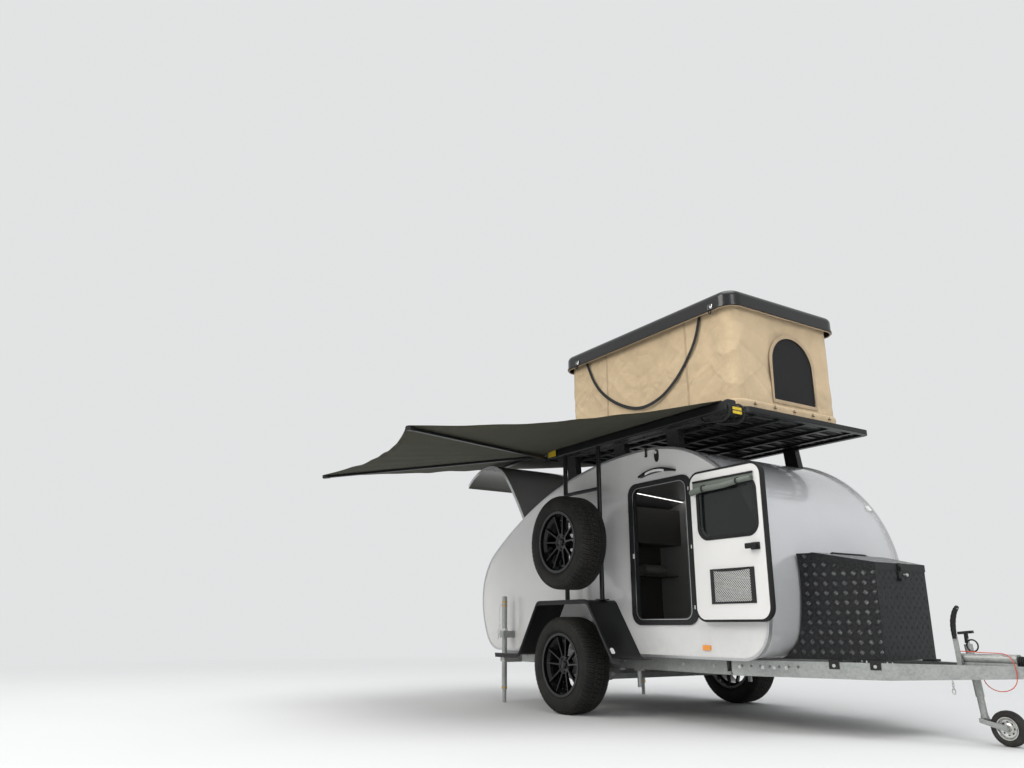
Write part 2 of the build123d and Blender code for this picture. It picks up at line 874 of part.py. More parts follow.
# Rolled blankets on the shelf and on the left wall, a little clear of what they rest on
shelf_z = 1136
shelf_deep = 240
roll_long = 290
roll_in = 37            # inner wall to a roll's outer end
roll_deep = 66
roll_high = 54
with BuildPart() as blankets:
    for start in (inner_half - roll_in - roll_long, roll_in - inner_half):
        with BuildSketch(side_at(start)):
            with Locations((bulkhead_x + roll_deep + 10, shelf_z + roll_high + soft_gap)):
                Ellipse(roll_deep, roll_high)
        extrude(amount=-roll_long)

save(blankets.part, "blankets")

# Shelf and high locker on the front side of the bulkhead
locker_low = 1420
locker_high = 340
locker_deep = 300
with BuildPart() as locker:
    with Locations(spot(bulkhead_x + shelf_deep / 2, 0, shelf_z - board / 2)):
        Box(shelf_deep, 2 * inner_half - 2, board)
    with Locations(spot(bulkhead_x + locker_deep / 2, 0, locker_low + locker_high / 2)):
        Box(locker_deep, 2 * inner_half - 2, locker_high)
        Box(locker_deep - 2 * board, 2 * inner_half - 2 - 2 * board, locker_high - 2 * board, mode=Mode.SUBTRACT)
    with BuildSketch(side_at(-inner_half)):
        add(teardrop(skin_inset + skin_thick + 1))
    extrude(amount=-2 * inner_half, mode=Mode.INTERSECT)

save(locker.part, "cabin_locker")

# Tent, rack and awning
slat_pitch = 132
slat_wide = 44

with BuildPart() as rack:
    with BuildSketch(plan_at(rack_low)):
        with Locations(((rack_rear + rack_front) / 2, 0)):
            RectangleRounded(rack_front - rack_rear, 2 * rack_half, 60)
            RectangleRounded(rack_front - rack_rear - 80, 2 * rack_half - 80, 30, mode=Mode.SUBTRACT)
    extrude(amount=rack_high - rack_low)
    with BuildSketch(plan_at(rack_high - 22)):
        with Locations(((rack_rear + rack_front) / 2, 0)):
            with GridLocations(slat_pitch, 0, 16, 1):
                Rectangle(slat_wide, 2 * rack_half - 40)
    extrude(amount=22)
    with BuildSketch(plan_at(rack_low)):
        with Locations(((rack_rear + rack_front) / 2, 0)):
            with GridLocations(0, 270, 1, 5):
                Rectangle(rack_front - rack_rear - 40, 30)
    extrude(amount=rack_high - rack_low - 22)

save(rack.part, "roof_rack")

foot_stations = (-260, 400, 1030)
foot_seats = [(station, roof_height(station, body_face) + trim_proud) for station in foot_stations]

with BuildPart() as rack_feet:
    for station, seat in foot_seats:
        with BuildSketch(side_at(-inner_half + 1)):
            with BuildLine():
                Polyline(
                    (station - 60, rack_low),
                    (station + 60, rack_low),
                    (station + 90, seat - 60),
                    (station - 40, seat - 60),
                    close=True,
                )
            make_face()
        extrude(amount=-60)
    with BuildSketch(side_at(-inner_half)):
        add(skin_face)
    extrude(amount=-100, mode=Mode.SUBTRACT)

save(join(rack_feet.part, mirrored(rack_feet.part)), "rack_feet")

with BuildPart() as tent_base:
    with BuildSketch(plan_at(tent_floor_z)):
        with Locations(((tent_rear + tent_front) / 2, 0)):
            RectangleRounded(tent_front - tent_rear + 16, 2 * tent_half + 16, tent_corner)
    extrude(amount=tent_wall_low - tent_floor_z - base_step)
    with BuildSketch(plan_at(tent_wall_low - base_step)):
        with Locations(((tent_rear + tent_front) / 2, 0)):
            step_in = canvas_thick + soft_gap
            RectangleRounded(
                tent_front - tent_rear - 2 * step_in,
                2 * tent_half - 2 * step_in,
                tent_corner - step_in,
            )
    extrude(amount=base_step)

save(tent_base.part, "tent_base")

wall_foot = tent_wall_low - base_step + soft_gap
window_y = 70
tent_window_w = 480
tent_window_low = 2320
tent_window_high = 2850

with BuildPart() as tent_walls:
    with BuildSketch(plan_at(wall_foot)):
        with Locations(((tent_rear + tent_front) / 2, 0)):
            RectangleRounded(tent_front - tent_rear, 2 * tent_half, tent_corner)
            RectangleRounded(
                tent_front - tent_rear - 2 * canvas_thick,
                2 * tent_half - 2 * canvas_thick,
                tent_corner - canvas_thick,
                mode=Mode.SUBTRACT,
            )
    extrude(amount=tent_wall_high - wall_foot)
    with BuildSketch(front_at(tent_front - 60)) as window_cut:
        with BuildLine():
            half = tent_window_w / 2
            left_foot = (window_y - half, tent_window_low)
            left_top = (window_y - half, tent_window_high - half)
            right_top = (window_y + half, tent_window_high - half)
            right_foot = (window_y + half, tent_window_low)
            Line(left_foot, left_top)
            ThreePointArc(left_top, (window_y, tent_window_high), right_top)
            Line(right_top, right_foot)
            Line(right_foot, left_foot)
        make_face()
    extrude(amount=100, mode=Mode.SUBTRACT)

window_face = window_cut.sketch_local
save(tent_walls.part, "tent_walls")

lid_corner = tent_corner + 20
lid_round = 46
lid_wall = 7
lid_flare = 6           # how far its hem stands out
lid_hem = 14
lid_rib = 7             # raised panels on its top
lid_rib_pitch = 340
lid_half = tent_half + lid_overhang
lid_long = tent_front - tent_rear + 2 * lid_overhang

with BuildPart() as tent_lid:
    with BuildSketch(plan_at(lid_low)):
        with Locations(((tent_rear + tent_front) / 2, 0)):
            RectangleRounded(lid_long, 2 * lid_half, lid_corner)
    extrude(amount=lid_high - lid_low)
    fillet(tent_lid.faces().sort_by(Axis.Z)[-1].edges(), radius=lid_round)
    with BuildSketch(plan_at(lid_low)):
        with Locations(((tent_rear + tent_front) / 2, 0)):
            RectangleRounded(lid_long + 2 * lid_flare, 2 * (lid_half + lid_flare), lid_corner + lid_flare)
    extrude(amount=lid_hem)
    with BuildSketch(plan_at(lid_high)):
        with Locations(((tent_rear + tent_front) / 2, 0)):
            with GridLocations(0, lid_rib_pitch, 1, 3):
                RectangleRounded(lid_long - 4 * lid_corner, lid_rib_pitch - 90, 60)
    extrude(amount=lid_rib, taper=30)
    with BuildSketch(plan_at(lid_low)):
        with Locations(((tent_rear + tent_front) / 2, 0)):
            RectangleRounded(lid_long - 2 * lid_wall, 2 * (lid_half - lid_wall), lid_corner - lid_wall)
    extrude(amount=lid_high - lid_low - 60, mode=Mode.SUBTRACT)

save(tent_lid.part, "tent_lid")


# Awning
def arm_point(direction, height, reach):
    return (
        hub_x + reach * cos(radians(direction)),
        hub_y + reach * sin(radians(direction)),
        height,
    )


hub_radius = 20
hub_low = case_low - 10
hub_high = 140

with BuildPart() as awning_case:
    with BuildSketch(front_at(hub_x + 30)):
        with Locations((-(case_inner_y + case_outer_y) / 2, (case_low + case_high) / 2)):
            RectangleRounded(case_deep, case_high - case_low, 16)
    extrude(amount=case_front - hub_x - 30)
    with BuildSketch(front_at(case_front - 24)):
        with Locations((-(case_inner_y + case_outer_y) / 2, (case_low + case_high) / 2)):
            RectangleRounded(case_deep + 6, case_high - case_low + 6, 18)
    extrude(amount=24)
    with Locations(spot(hub_x, hub_y, hub_low)):
        Cylinder(hub_radius, hub_high, align=(Align.CENTER, Align.CENTER, Align.MIN))
    with Locations(spot(hub_x + 20, -(case_inner_y + case_outer_y) / 2, hub_low + 6)):
        Box(84, case_outer_y - case_inner_y, 8)
    for station in (0, 700, 1400):
        with Locations(spot(station, -(rack_half + case_inner_y) / 2, 2122)):
            Box(50, case_inner_y - rack_half, 8)

save(awning_case.part, "awning_case")

arm_solids = []
for direction, root_z, tip_z in arms:
    tip = Vector(*spot(*arm_point(direction, tip_z, arm_length)))
    root = Vector(*spot(*arm_point(direction, root_z, 0)))
    along = (tip - root).normalized()
    with BuildPart() as arm:
        with BuildSketch(Plane(origin=root, x_dir=(-sin(radians(direction)), cos(radians(direction)), 0), z_dir=along)):
            RectangleRounded(arm_wide, arm_deep, 5)
        extrude(amount=(tip - root).length)
        with Locations(spot(hub_x, hub_y, hub_low)):
            Cylinder(hub_radius + soft_gap, hub_high, align=(Align.CENTER, Align.CENTER, Align.MIN), mode=Mode.SUBTRACT)
        with BuildSketch(Plane(origin=tip, x_dir=(-sin(radians(direction)), cos(radians(direction)), 0), z_dir=along)):
            RectangleRounded(arm_wide + 8, arm_deep + 6, 6)
        extrude(amount=-60)
    arm_solids.append(arm.part)

save(join(*arm_solids), "awning_arms")

canvas_lift = 16
canvas_rest = 0.3       # over the case's front end
canvas_sheet = 3
seam_gap = 0.4
hub_reach = 60
case_rest = case_high - canvas_lift + canvas_rest
fan = [(0, case_rest, case_rest)] + arms
canvas_solids = []
for (dir_a, root_a, tip_a), (dir_b, root_b, tip_b) in zip(fan, fan[1:]):
    near_a = root_a + (tip_a - root_a) * hub_reach / arm_length
    near_b = root_b + (tip_b - root_b) * hub_reach / arm_length
    hub_z = max(near_a, near_b) + canvas_lift
    middle = (dir_a + dir_b) / 2
    corner = Vector(*spot(*arm_point(middle, hub_z, hub_reach)))
    far_a = Vector(*spot(*arm_point(dir_a, tip_a + canvas_lift, arm_length)))
    far_b = Vector(*spot(*arm_point(dir_b, tip_b + canvas_lift, arm_length)))
    normal = (far_b - corner).cross(far_a - corner).normalized()
    if normal.Z < 0:
        normal = normal * -1
    sheet_plane = Plane(origin=corner, x_dir=(far_a - corner).normalized(), z_dir=normal)
    local_a = sheet_plane.to_local_coords(far_a)
    local_b = sheet_plane.to_local_coords(far_b)
    centre_point = (local_a + local_b) * 0.5
    sag_point = centre_point * 0.9
    with BuildPart() as sheet:
        with BuildSketch(sheet_plane):
            with BuildLine():
                Line((0, 0), (local_a.X, local_a.Y))
                ThreePointArc((local_a.X, local_a.Y), (sag_point.X, sag_point.Y), (local_b.X, local_b.Y))
                Line((local_b.X, local_b.Y), (0, 0))
            make_face()
            offset(amount=-seam_gap, kind=Kind.INTERSECTION)
        extrude(amount=canvas_sheet)
    canvas_solids.append(sheet.part)

save(join(*canvas_solids), "awning_canvas")


# Tool box and its lid
def box_half(x, grow=0.0):
    return box_front_half + (box_front - x) * box_slope + grow


def box_plan(grow, x_front, x_rear):
    with BuildSketch(Plane.XY) as plan:
        Polygon(
            (x_front, -box_half(x_front, grow)),
            (x_front, box_half(x_front, grow)),
            (x_rear, box_half(x_rear, grow)),
            (x_rear, -box_half(x_rear, grow)),
            align=None,
        )
    return plan.sketch


top_slope = (box_top_rear - box_top_front) / (box_front - box_hinge_x)


def top_z(x):
    return box_top_front + (box_front - x) * top_slope


def box_side(drop, x_front, x_rear, low):
    with BuildSketch(Plane.XY) as view:
        Polygon(
            (x_rear, low),
            (x_front, low),
            (x_front, top_z(x_front) - drop),
            (box_hinge_x, top_z(box_hinge_x) - drop),
            (x_rear, top_z(box_hinge_x) - drop),
            align=None,
        )
    return view.sketch


with BuildPart() as tool_box:
    with BuildSketch(plan_at(box_low - 1)):
        add(box_plan(0, box_front, 1650))
    extrude(amount=800)
    with BuildSketch(side_at(-1000)):
        add(box_side(0, box_front, 1650, box_low))
    extrude(amount=-2000, mode=Mode.INTERSECT)
    with BuildSketch(side_at(-1000)):
        add(teardrop(-8))
    extrude(amount=-2000, mode=Mode.SUBTRACT)

with BuildPart() as box_space:
    with BuildSketch(plan_at(box_low)):
        add(box_plan(-box_wall * 1.1, box_front - box_wall, 1650))
    extrude(amount=800)
    with BuildSketch(side_at(-1000)):
        add(box_side(-100, box_front - box_wall, 1650, box_low + box_wall))
    extrude(amount=-2000, mode=Mode.INTERSECT)
    with BuildSketch(side_at(-1000)):
        add(teardrop(-8 - box_wall))
    extrude(amount=-2000, mode=Mode.SUBTRACT)
    with Locations(spot(box_hinge_x - 5 - 500, 0, box_top_rear - box_wall + 500)):
        Box(1000, 3000, 1000, mode=Mode.SUBTRACT)

lid_pin = 4
lid_barrel = 7.5
lid_barrel_half = 180
lid_lug = 12
lid_axis_z = box_top_rear + 0.5 + lid_barrel

with BuildPart() as lid_rod:
    with BuildSketch(side_at(lid_barrel_half + lid_lug)):
        with Locations((box_hinge_x, lid_axis_z)):
            Circle(lid_pin)
    extrude(amount=2 * (lid_barrel_half + lid_lug))
    for side in (-1, 1):
        with Locations(spot(box_hinge_x, side * (lid_barrel_half + 1 + lid_lug / 2), 0)):
            with Locations((0, 0, (lid_axis_z + box_top_rear) / 2)):
                Box(2 * lid_barrel, lid_lug, lid_axis_z - box_top_rear + 4)

tool_box_part = tool_box.part - box_space.part + lid_rod.part
save(tool_box_part, "tool_box")

lid_clear = 1.5
lid_sheet = 3

with BuildPart() as box_lid:
    with BuildSketch(plan_at(0)):
        add(box_plan(lid_clear + lid_sheet, box_front + lid_clear + lid_sheet, box_hinge_x))
    extrude(amount=2000)
    with BuildSketch(side_at(-1000)):
        Polygon(
            (box_hinge_x, top_z(box_hinge_x) + lid_clear + lid_sheet),
            (box_front + 40, top_z(box_front + 40) + lid_clear + lid_sheet),
            (box_front + 40, top_z(box_front + 40) - lid_lip),
            (box_hinge_x, top_z(box_hinge_x) - lid_lip),
            align=None,
        )
    extrude(amount=-2000, mode=Mode.INTERSECT)

with BuildPart() as lid_space:
    with BuildSketch(plan_at(0)):
        add(box_plan(lid_clear, box_front + lid_clear, box_hinge_x - 20))
    extrude(amount=2000)
    with BuildSketch(side_at(-1000)):
        Polygon(
            (box_hinge_x - 20, top_z(box_hinge_x - 20) + lid_clear),
            (box_front + 40, top_z(box_front + 40) + lid_clear),
            (box_front + 40, top_z(box_front + 40) - 200),
            (box_hinge_x - 20, top_z(box_hinge_x - 20) - 200),
            align=None,
        )
    extrude(amount=-2000, mode=Mode.INTERSECT)

with BuildPart() as lid_tube:
    with BuildSketch(side_at(lid_barrel_half)):
        with Locations((box_hinge_x, lid_axis_z)):
            Circle(lid_barrel)
    extrude(amount=2 * lid_barrel_half)

with BuildPart() as lid_bore:
    with BuildSketch(side_at(lid_barrel_half + 1)):
        with Locations((box_hinge_x, lid_axis_z)):
            Circle(lid_pin + hinge_play)
    extrude(amount=2 * lid_barrel_half + 2)

with BuildPart() as lug_room:
    for side in (-1, 1):
        with Locations(spot(box_hinge_x, side * (lid_barrel_half + 1 + lid_lug / 2), lid_axis_z)):
            Box(2 * lid_barrel + 16, lid_lug + 2, 40)

save(box_lid.part - lid_space.part - lug_room.part + lid_tube.part - lid_bore.part, "tool_box_lid")

# Angle brackets that carry the tool box on the drawbar legs
bracket_stations = (2070, 2298)
bracket_wide = 64
bracket_deep = 90       # leg's outer face to the inner end of the bracket's shelf
with BuildPart() as bracket:
    with Locations(leg_plane):
        with Locations([((station - drawbar_start) * leg_scale, 0, 0) for station in bracket_stations]):
            with Locations((0, floor_low - 14, 2)):
                Box(bracket_wide, 54, 4)
            with Locations((0, (floor_low + box_low) / 2, 4 - bracket_deep / 2)):
                Box(bracket_wide, box_low - floor_low, bracket_deep)

save(join(bracket.part, mirrored(bracket.part)), "box_brackets")

# Jockey wheel sizes
jockey_x = housing_start + 13
jockey_y = 70
jockey_lean = 5
jockey_top = Vector(*spot(jockey_x, jockey_y, 560))
jockey_axis = Vector(sin(radians(jockey_lean)), 0, -cos(radians(jockey_lean)))
jockey_plane = Plane(origin=jockey_top, x_dir=(0, 1, 0), z_dir=jockey_axis)
sleeve_radius = 24
sleeve_bore = 20.1
leg_radius = 20
sleeve_long = 300
leg_start = 200
leg_end = 405
jockey_radius = 98
jockey_trail = 132


# Coupling gear at the drawbar's end
lever_x = housing_start + 5
lever_gap = 13          # housing side to the brake lever
with BuildPart() as overrun:
    with Locations(spot((housing_start + housing_end) / 2, 0, 423)):
        Box(housing_end - housing_start, 2 * housing_half, 72)
    with BuildSketch(Plane(origin=spot(housing_start, 0, 0), x_dir=(0, 1, 0), z_dir=(1, 0, 0))):
        with Locations((0, 481)):
            RectangleRounded(2 * housing_half, 54, 25)
    extrude(amount=housing_end - housing_start)
    with Locations(spot(jockey_x + 16, housing_half + 33, 420)):
        Box(56, 72, 50)
    with BuildSketch(side_at(-housing_half)):
        with Locations((lever_x + 12, 462)):
            Circle(13)
    extrude(amount=lever_gap)
    with BuildSketch(jockey_plane):
        Circle(sleeve_radius + 0.2)
    extrude(amount=400, mode=Mode.SUBTRACT)

save(overrun.part, "overrun_housing")

shaft_z = floor_low + 21
bellows_long = 110
neck_long = 110
with BuildPart() as bellows:
    with BuildSketch(Plane(origin=spot(housing_end, 0, shaft_z), z_dir=(1, 0, 0))):
        Circle(33)
    extrude(amount=bellows_long)

save(bellows.part, "bellows")

socket_radius = 25.5
dome_radius = 37
socket_depth = 24
with BuildPart() as coupling:
    with BuildSketch(Plane(origin=spot(housing_end + bellows_long, 0, shaft_z), z_dir=(1, 0, 0))):
        Circle(27)
    extrude(amount=neck_long)
    with BuildSketch(side_at(-24)):
        Polygon(
            (hitch_reach - 90, shaft_z + 22),
            (hitch_reach - 30, shaft_z + 16),
            (hitch_reach, hitch_height + 30),
            (hitch_reach, hitch_height - 6),
            (hitch_reach - 90, shaft_z - 24),
            align=None,
        )
    extrude(amount=-48)
    with Locations(spot(hitch_reach, 0, hitch_height - socket_depth)):
        Cylinder(dome_radius, socket_depth + 8, align=(Align.CENTER, Align.CENTER, Align.MIN))
    with Locations(spot(hitch_reach, 0, hitch_height + 8)):
        Sphere(dome_radius)
    with Locations(spot(hitch_reach, 0, hitch_height - 40)):
        Cylinder(socket_radius, 40, align=(Align.CENTER, Align.CENTER, Align.MIN), mode=Mode.SUBTRACT)
    with Locations(spot(hitch_reach, 0, hitch_height)):
        Sphere(socket_radius, mode=Mode.SUBTRACT)
    with BuildSketch(side_at(-13)):
        Polygon(
            (hitch_reach - 120, shaft_z + 22),
            (hitch_reach - 64, shaft_z + 22),
            (hitch_reach - 48, shaft_z + 52),
            (hitch_reach + 60, shaft_z + 62),
            (hitch_reach + 64, shaft_z + 72),
            (hitch_reach - 70, shaft_z + 68),
            (hitch_reach - 110, shaft_z + 50),
            align=None,
        )
    extrude(amount=-26)

save(coupling.part, "coupling_head")

# Handbrake lever beside the overrun housing
lever_foot = 441
lever_high = 344

with BuildPart() as brake_lever:
    with BuildSketch(side_at(-housing_half - lever_gap)):
        with BuildLine():
            Polyline(
                (lever_x - 22, lever_foot),
                (lever_x + 22, lever_foot),
                (lever_x + 12, lever_foot + 74),
                (lever_x - 4, lever_foot + lever_high),
                (lever_x - 24, lever_foot + lever_high),
                (lever_x - 10, lever_foot + 74),
                close=True,
            )
        make_face()
    extrude(amount=10)

save(brake_lever.part, "brake_lever")

# Jockey wheel: sleeve clamped between the drawbar legs, sliding leg, fork and wheel
with BuildPart() as jockey_sleeve:
    with BuildSketch(jockey_plane):
        Circle(sleeve_radius)
    extrude(amount=sleeve_long)
    with BuildSketch(jockey_plane.offset(10)):
        Circle(sleeve_bore)
    extrude(amount=sleeve_long, mode=Mode.SUBTRACT)
    with BuildSketch(jockey_plane):
        Circle(11)
    extrude(amount=-60)
    with BuildSketch(jockey_plane.offset(-60)):
        Rectangle(26, 90)
    extrude(amount=-16)

save(jockey_sleeve.part, "jockey_sleeve")

with BuildPart() as jockey_leg:
    with BuildSketch(jockey_plane.offset(leg_start)):
        Circle(leg_radius)
    extrude(amount=leg_end - leg_start)

save(jockey_leg.part, "jockey_leg")

leg_foot = jockey_top + jockey_axis * leg_end
wheel_centre = Vector(leg_foot.X + jockey_trail, jockey_top.Y, jockey_radius - hitch_height)
fork_half = 34

with BuildPart() as jockey_fork:
    with BuildSketch(jockey_plane.offset(leg_end + 0.5)):
        Circle(23)
    extrude(amount=12)
    fork_top = leg_foot + jockey_axis * 22
    for side in (-1, 1):
        with BuildSketch(Plane(origin=Vector(0, jockey_top.Y + side * fork_half + 2, 0), x_dir=(1, 0, 0), z_dir=(0, -1, 0))):
            with BuildLine():
                Polyline(
                    (fork_top.X - 20, fork_top.Z + 8),
                    (wheel_centre.X + 4, wheel_centre.Z + 18),
                    (wheel_centre.X + 18, wheel_centre.Z),
                    (wheel_centre.X + 4, wheel_centre.Z - 18),
                    (fork_top.X - 20, fork_top.Z - 16),
                    close=True,
                )
            make_face()
        extrude(amount=4)
    with Locations(Vector(fork_top.X - 6, jockey_top.Y, fork_top.Z - 4)):
        Box(28, 2 * fork_half + 4, 24)
    with BuildSketch(Plane(origin=Vector(wheel_centre.X, jockey_top.Y + fork_half + 6, wheel_centre.Z), x_dir=(1, 0, 0), z_dir=(0, -1, 0))):
        Circle(8)
    extrude(amount=2 * fork_half + 12)

save(jockey_fork.part, "jockey_fork")

boss_half = fork_half - 6
jockey_rim = 62
jockey_section = [          # distance out from the middle, radius
    (boss_half, 8 + running_clearance),
    (boss_half, 15),
    (5, 18),
    (5, jockey_rim - 12),
    (18, jockey_rim - 4),
    (18, jockey_rim + 2),
    (25, jockey_rim + 6),
    (25, jockey_radius - 14),
    (13, jockey_radius),
]

with BuildPart() as jockey_wheel:
    with BuildSketch(Plane.XY):
        with BuildLine():
            Polyline(*jockey_section, *[(-out, radius) for out, radius in reversed(jockey_section)], close=True)
        make_face()
    revolve(axis=Axis.X)

save(jockey_wheel.part.moved(Location(wheel_centre, (0, 0, -90))), "jockey_wheel")

# Rear steadies: clamps on the body, and legs that slide in them
steady_x = -1170
steady_out = 93         # body side to a steady's axis
steady_y = -(body_half + steady_out)
steady_radius = 24
steady_top = 930
steady_tip = 110
clamp_z = 590
clamp_deep = steady_out + steady_radius + 10

with BuildPart() as steady:
    with Locations(spot(steady_x, steady_y, 0)):
        Cylinder(steady_radius - 6, steady_tip, align=(Align.CENTER, Align.CENTER, Align.MIN))
    with Locations(spot(steady_x, steady_y, steady_tip)):
        Cylinder(steady_radius, steady_top - steady_tip, align=(Align.CENTER, Align.CENTER, Align.MIN))
    fillet(steady.faces().sort_by(Axis.Z)[-1].edges(), radius=10)

save(steady.part, "steady_right")
save(mirrored(steady.part), "steady_left")

with BuildPart() as clamp:
    with Locations(spot(steady_x, -body_half - clamp_deep / 2, clamp_z)):
        Box(64, clamp_deep, 60)
    with Locations(spot(steady_x, steady_y, clamp_z)):
        Cylinder(steady_radius + 0.1, 80, mode=Mode.SUBTRACT)

save(join(clamp.part, mirrored(clamp.part)), "steady_clamps")

# Lamps: amber side markers, and tail lamps under the rear feet of the mudguards
tail_lamp_x = -995
tail_lamp_wide = 190
tail_lamp_high = 70
tail_lamp_deep = 70
lens_deep = 16
lens_pitch = 60
guard_foot = 20         # floor's underside to the mudguard's feet

with BuildPart() as lamps:
    for side in (-1, 1):
        with Locations(spot(1310, side * (body_half + 5), 520)):
            Box(46, 10, 30)
        with BuildSketch(front_at(tail_lamp_x + tail_lamp_deep)):
            with Locations((side * (wheel_y - 52), floor_low - guard_foot - tail_lamp_high / 2)):
                RectangleRounded(tail_lamp_wide, tail_lamp_high, 8)
        extrude(amount=-tail_lamp_deep + lens_deep)
        for place in (-1, 0, 1):
            with BuildSketch(front_at(tail_lamp_x + lens_deep)):
                with Locations((side * (wheel_y - 52) + place * lens_pitch, floor_low - guard_foot - tail_lamp_high / 2)):
                    RectangleRounded(lens_pitch - 3, tail_lamp_high - 10, 6)
            extrude(amount=-lens_deep, taper=12)

save(lamps.part, "lamps")

# Black fittings on the sides: an arched lamp over each door, and an oval socket above it
with BuildPart() as fittings:
    with BuildSketch(side_at(-body_half)):
        with BuildLine():
            Polyline((door_x - 180, 1788), (door_x - 196, 1788), (door_x - 196, 1800))
            arch = ThreePointArc((door_x - 196, 1800), (door_x, 1838), (door_x + 196, 1800))
            Polyline((door_x + 196, 1800), (door_x + 196, 1788), (door_x + 180, 1788))
            ThreePointArc((door_x + 180, 1788), (door_x, 1806), (door_x - 180, 1788))
        make_face()
    extrude(amount=34)
    with BuildSketch(side_at(-body_half)):
        with Locations((door_x, 1938)):
            Ellipse(20, 48)
    extrude(amount=14)

save(join(fittings.part, mirrored(fittings.part)), "side_fittings")


# Cords
def corner_radii(points):
    radii = []
    for a, b, c in zip(points, points[1:], points[2:]):
        before = Vector(*b) - Vector(*a)
        after = Vector(*c) - Vector(*b)
        turn = before.get_angle(after)
        radii.append(0.45 * min(before.length, after.length) / tan(radians(turn) / 2))
    return radii


def cord_tube(name, stations, diameter):
    points = [spot(*station) for station in stations]
    radii = corner_radii(points)
    print(name, "radii", [round(radius) for radius in radii])
    with BuildPart() as cord:
        with BuildLine() as route:
            FilletPolyline(*points, radius=radii)
        with BuildSketch(Plane(origin=points[0], z_dir=route.line % 0)):
            Circle(diameter / 2)
        sweep()
    print(name, "length", round(sum(edge.length for edge in route.line.edges())))
    save(cord.part, name)


cable_route = [
    (2664, -43.2, 521),
    (2722, -30, 520),
    (2790, -18, 515),
    (2860, -13, 514),
    (2915, -22, 513),
    (2962, -44, 499),
    (2988, -59, 455),
    (2997, -62, 400),
    (2984, -61, 346),
    (2940, -59, 312),
    (2876, -54, 303),
    (2822, -44, 322),
    (2788, -30, 352),
    (2778, -24, 385.6),
]
cord_tube("breakaway_cable", cable_route, 5)

# The lid's pull strap hangs in a bight beside the right wall of the tent
strap_route = [
    (-160, 3050.7),
    (-40, 2800),
    (110, 2630),
    (330, 2490),
    (560, 2415),
    (790, 2440),
    (980, 2540),
    (1130, 2680),
    (1240, 2840),
    (1310, 3050.7),
]
strap_wide = 22
strap_y = -(tent_half + 12)
strap_radii = corner_radii([(x, 0, z) for x, z in strap_route])

with BuildPart() as strap:
    with BuildSketch(side_at(strap_y)):
        with BuildLine():
            FilletPolyline(*strap_route, radius=strap_radii)
            offset(amount=strap_wide / 2, side=Side.BOTH)
        make_face()
    extrude(amount=3)

save(strap.part, "tent_strap")

# Mesh in the tent's front window
with BuildPart() as mesh:
    with BuildSketch(front_at(tent_front - canvas_thick / 2 - 1)):
        add(window_face)
        offset(amount=-0.5)
    extrude(amount=2)

save(mesh.part, "tent_window")
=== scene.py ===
import bmesh
import bpy
import math
from mathutils import Matrix, Vector, noise
from mathutils.bvhtree import BVHTree


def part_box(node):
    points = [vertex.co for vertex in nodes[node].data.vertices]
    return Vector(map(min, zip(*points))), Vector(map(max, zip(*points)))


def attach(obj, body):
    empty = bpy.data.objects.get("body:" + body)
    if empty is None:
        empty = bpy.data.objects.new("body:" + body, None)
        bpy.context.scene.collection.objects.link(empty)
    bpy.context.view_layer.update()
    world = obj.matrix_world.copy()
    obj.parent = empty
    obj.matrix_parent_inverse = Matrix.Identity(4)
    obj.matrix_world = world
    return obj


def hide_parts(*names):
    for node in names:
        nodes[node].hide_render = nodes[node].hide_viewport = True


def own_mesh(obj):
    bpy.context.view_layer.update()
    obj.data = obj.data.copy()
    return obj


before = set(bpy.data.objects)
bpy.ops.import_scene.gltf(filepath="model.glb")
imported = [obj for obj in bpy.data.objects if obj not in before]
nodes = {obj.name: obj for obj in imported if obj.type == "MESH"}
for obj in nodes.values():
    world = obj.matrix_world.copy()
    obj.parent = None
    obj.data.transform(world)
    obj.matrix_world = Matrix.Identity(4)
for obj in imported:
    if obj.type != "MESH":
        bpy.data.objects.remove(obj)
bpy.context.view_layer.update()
print("frame loaded,", len(nodes), "nodes")

# Stations are measured from the axle and heights from the ground, in metres, and spot() turns
# them into the trailer's own frame, whose origin is the tow ball
hitchReach = 3.270
hitchHeight = 0.430
xAxis, yAxis, zAxis = Vector((1, 0, 0)), Vector((0, 1, 0)), Vector((0, 0, 1))


def spot(x, y, z):
    return Vector((x - hitchReach, y, z - hitchHeight))


# Camera, where the photographer stood, low beside the right front corner

cameraValues = dict(
    place=(2.283, -5.112, 0.231), azimuth=57.08, pitch=16.466, roll=-0.073, lens=28.81, sensor=36.0, reach=200
)


def aimedMatrix(values):
    azimuth, pitch = math.radians(values["azimuth"]), math.radians(values["pitch"])
    level = Vector((-math.sin(azimuth), math.cos(azimuth), 0))
    forward = level * math.cos(pitch) + zAxis * math.sin(pitch)
    right = Vector((math.cos(azimuth), math.sin(azimuth), 0))
    up = right.cross(forward)
    turn = Matrix.Rotation(math.radians(values["roll"]), 3, forward)
    rows = Matrix((turn @ right, turn @ up, -forward)).transposed()
    return Matrix.Translation(values["place"]) @ rows.to_4x4()


def makeCamera(values):
    data = bpy.data.cameras.new("photoCamera")
    data.lens = values["lens"]
    data.sensor_width = values["sensor"]
    data.clip_end = values["reach"]
    camera = bpy.data.objects.new("photoCamera", data)
    camera.matrix_world = aimedMatrix(values)
    bpy.context.scene.collection.objects.link(camera)
    bpy.context.scene.camera = camera
    bpy.context.scene.view_settings.view_transform = "Standard"


makeCamera(cameraValues)


# Node helpers for the materials

def setInputs(tree, node, inputs):
    for name, value in inputs.items():
        socket = node.inputs[name]
        if isinstance(value, bpy.types.NodeSocket):
            tree.links.new(value, socket)
        elif socket.type == "RGBA":
            socket.default_value = (*value, 1.0)
        else:
            socket.default_value = value


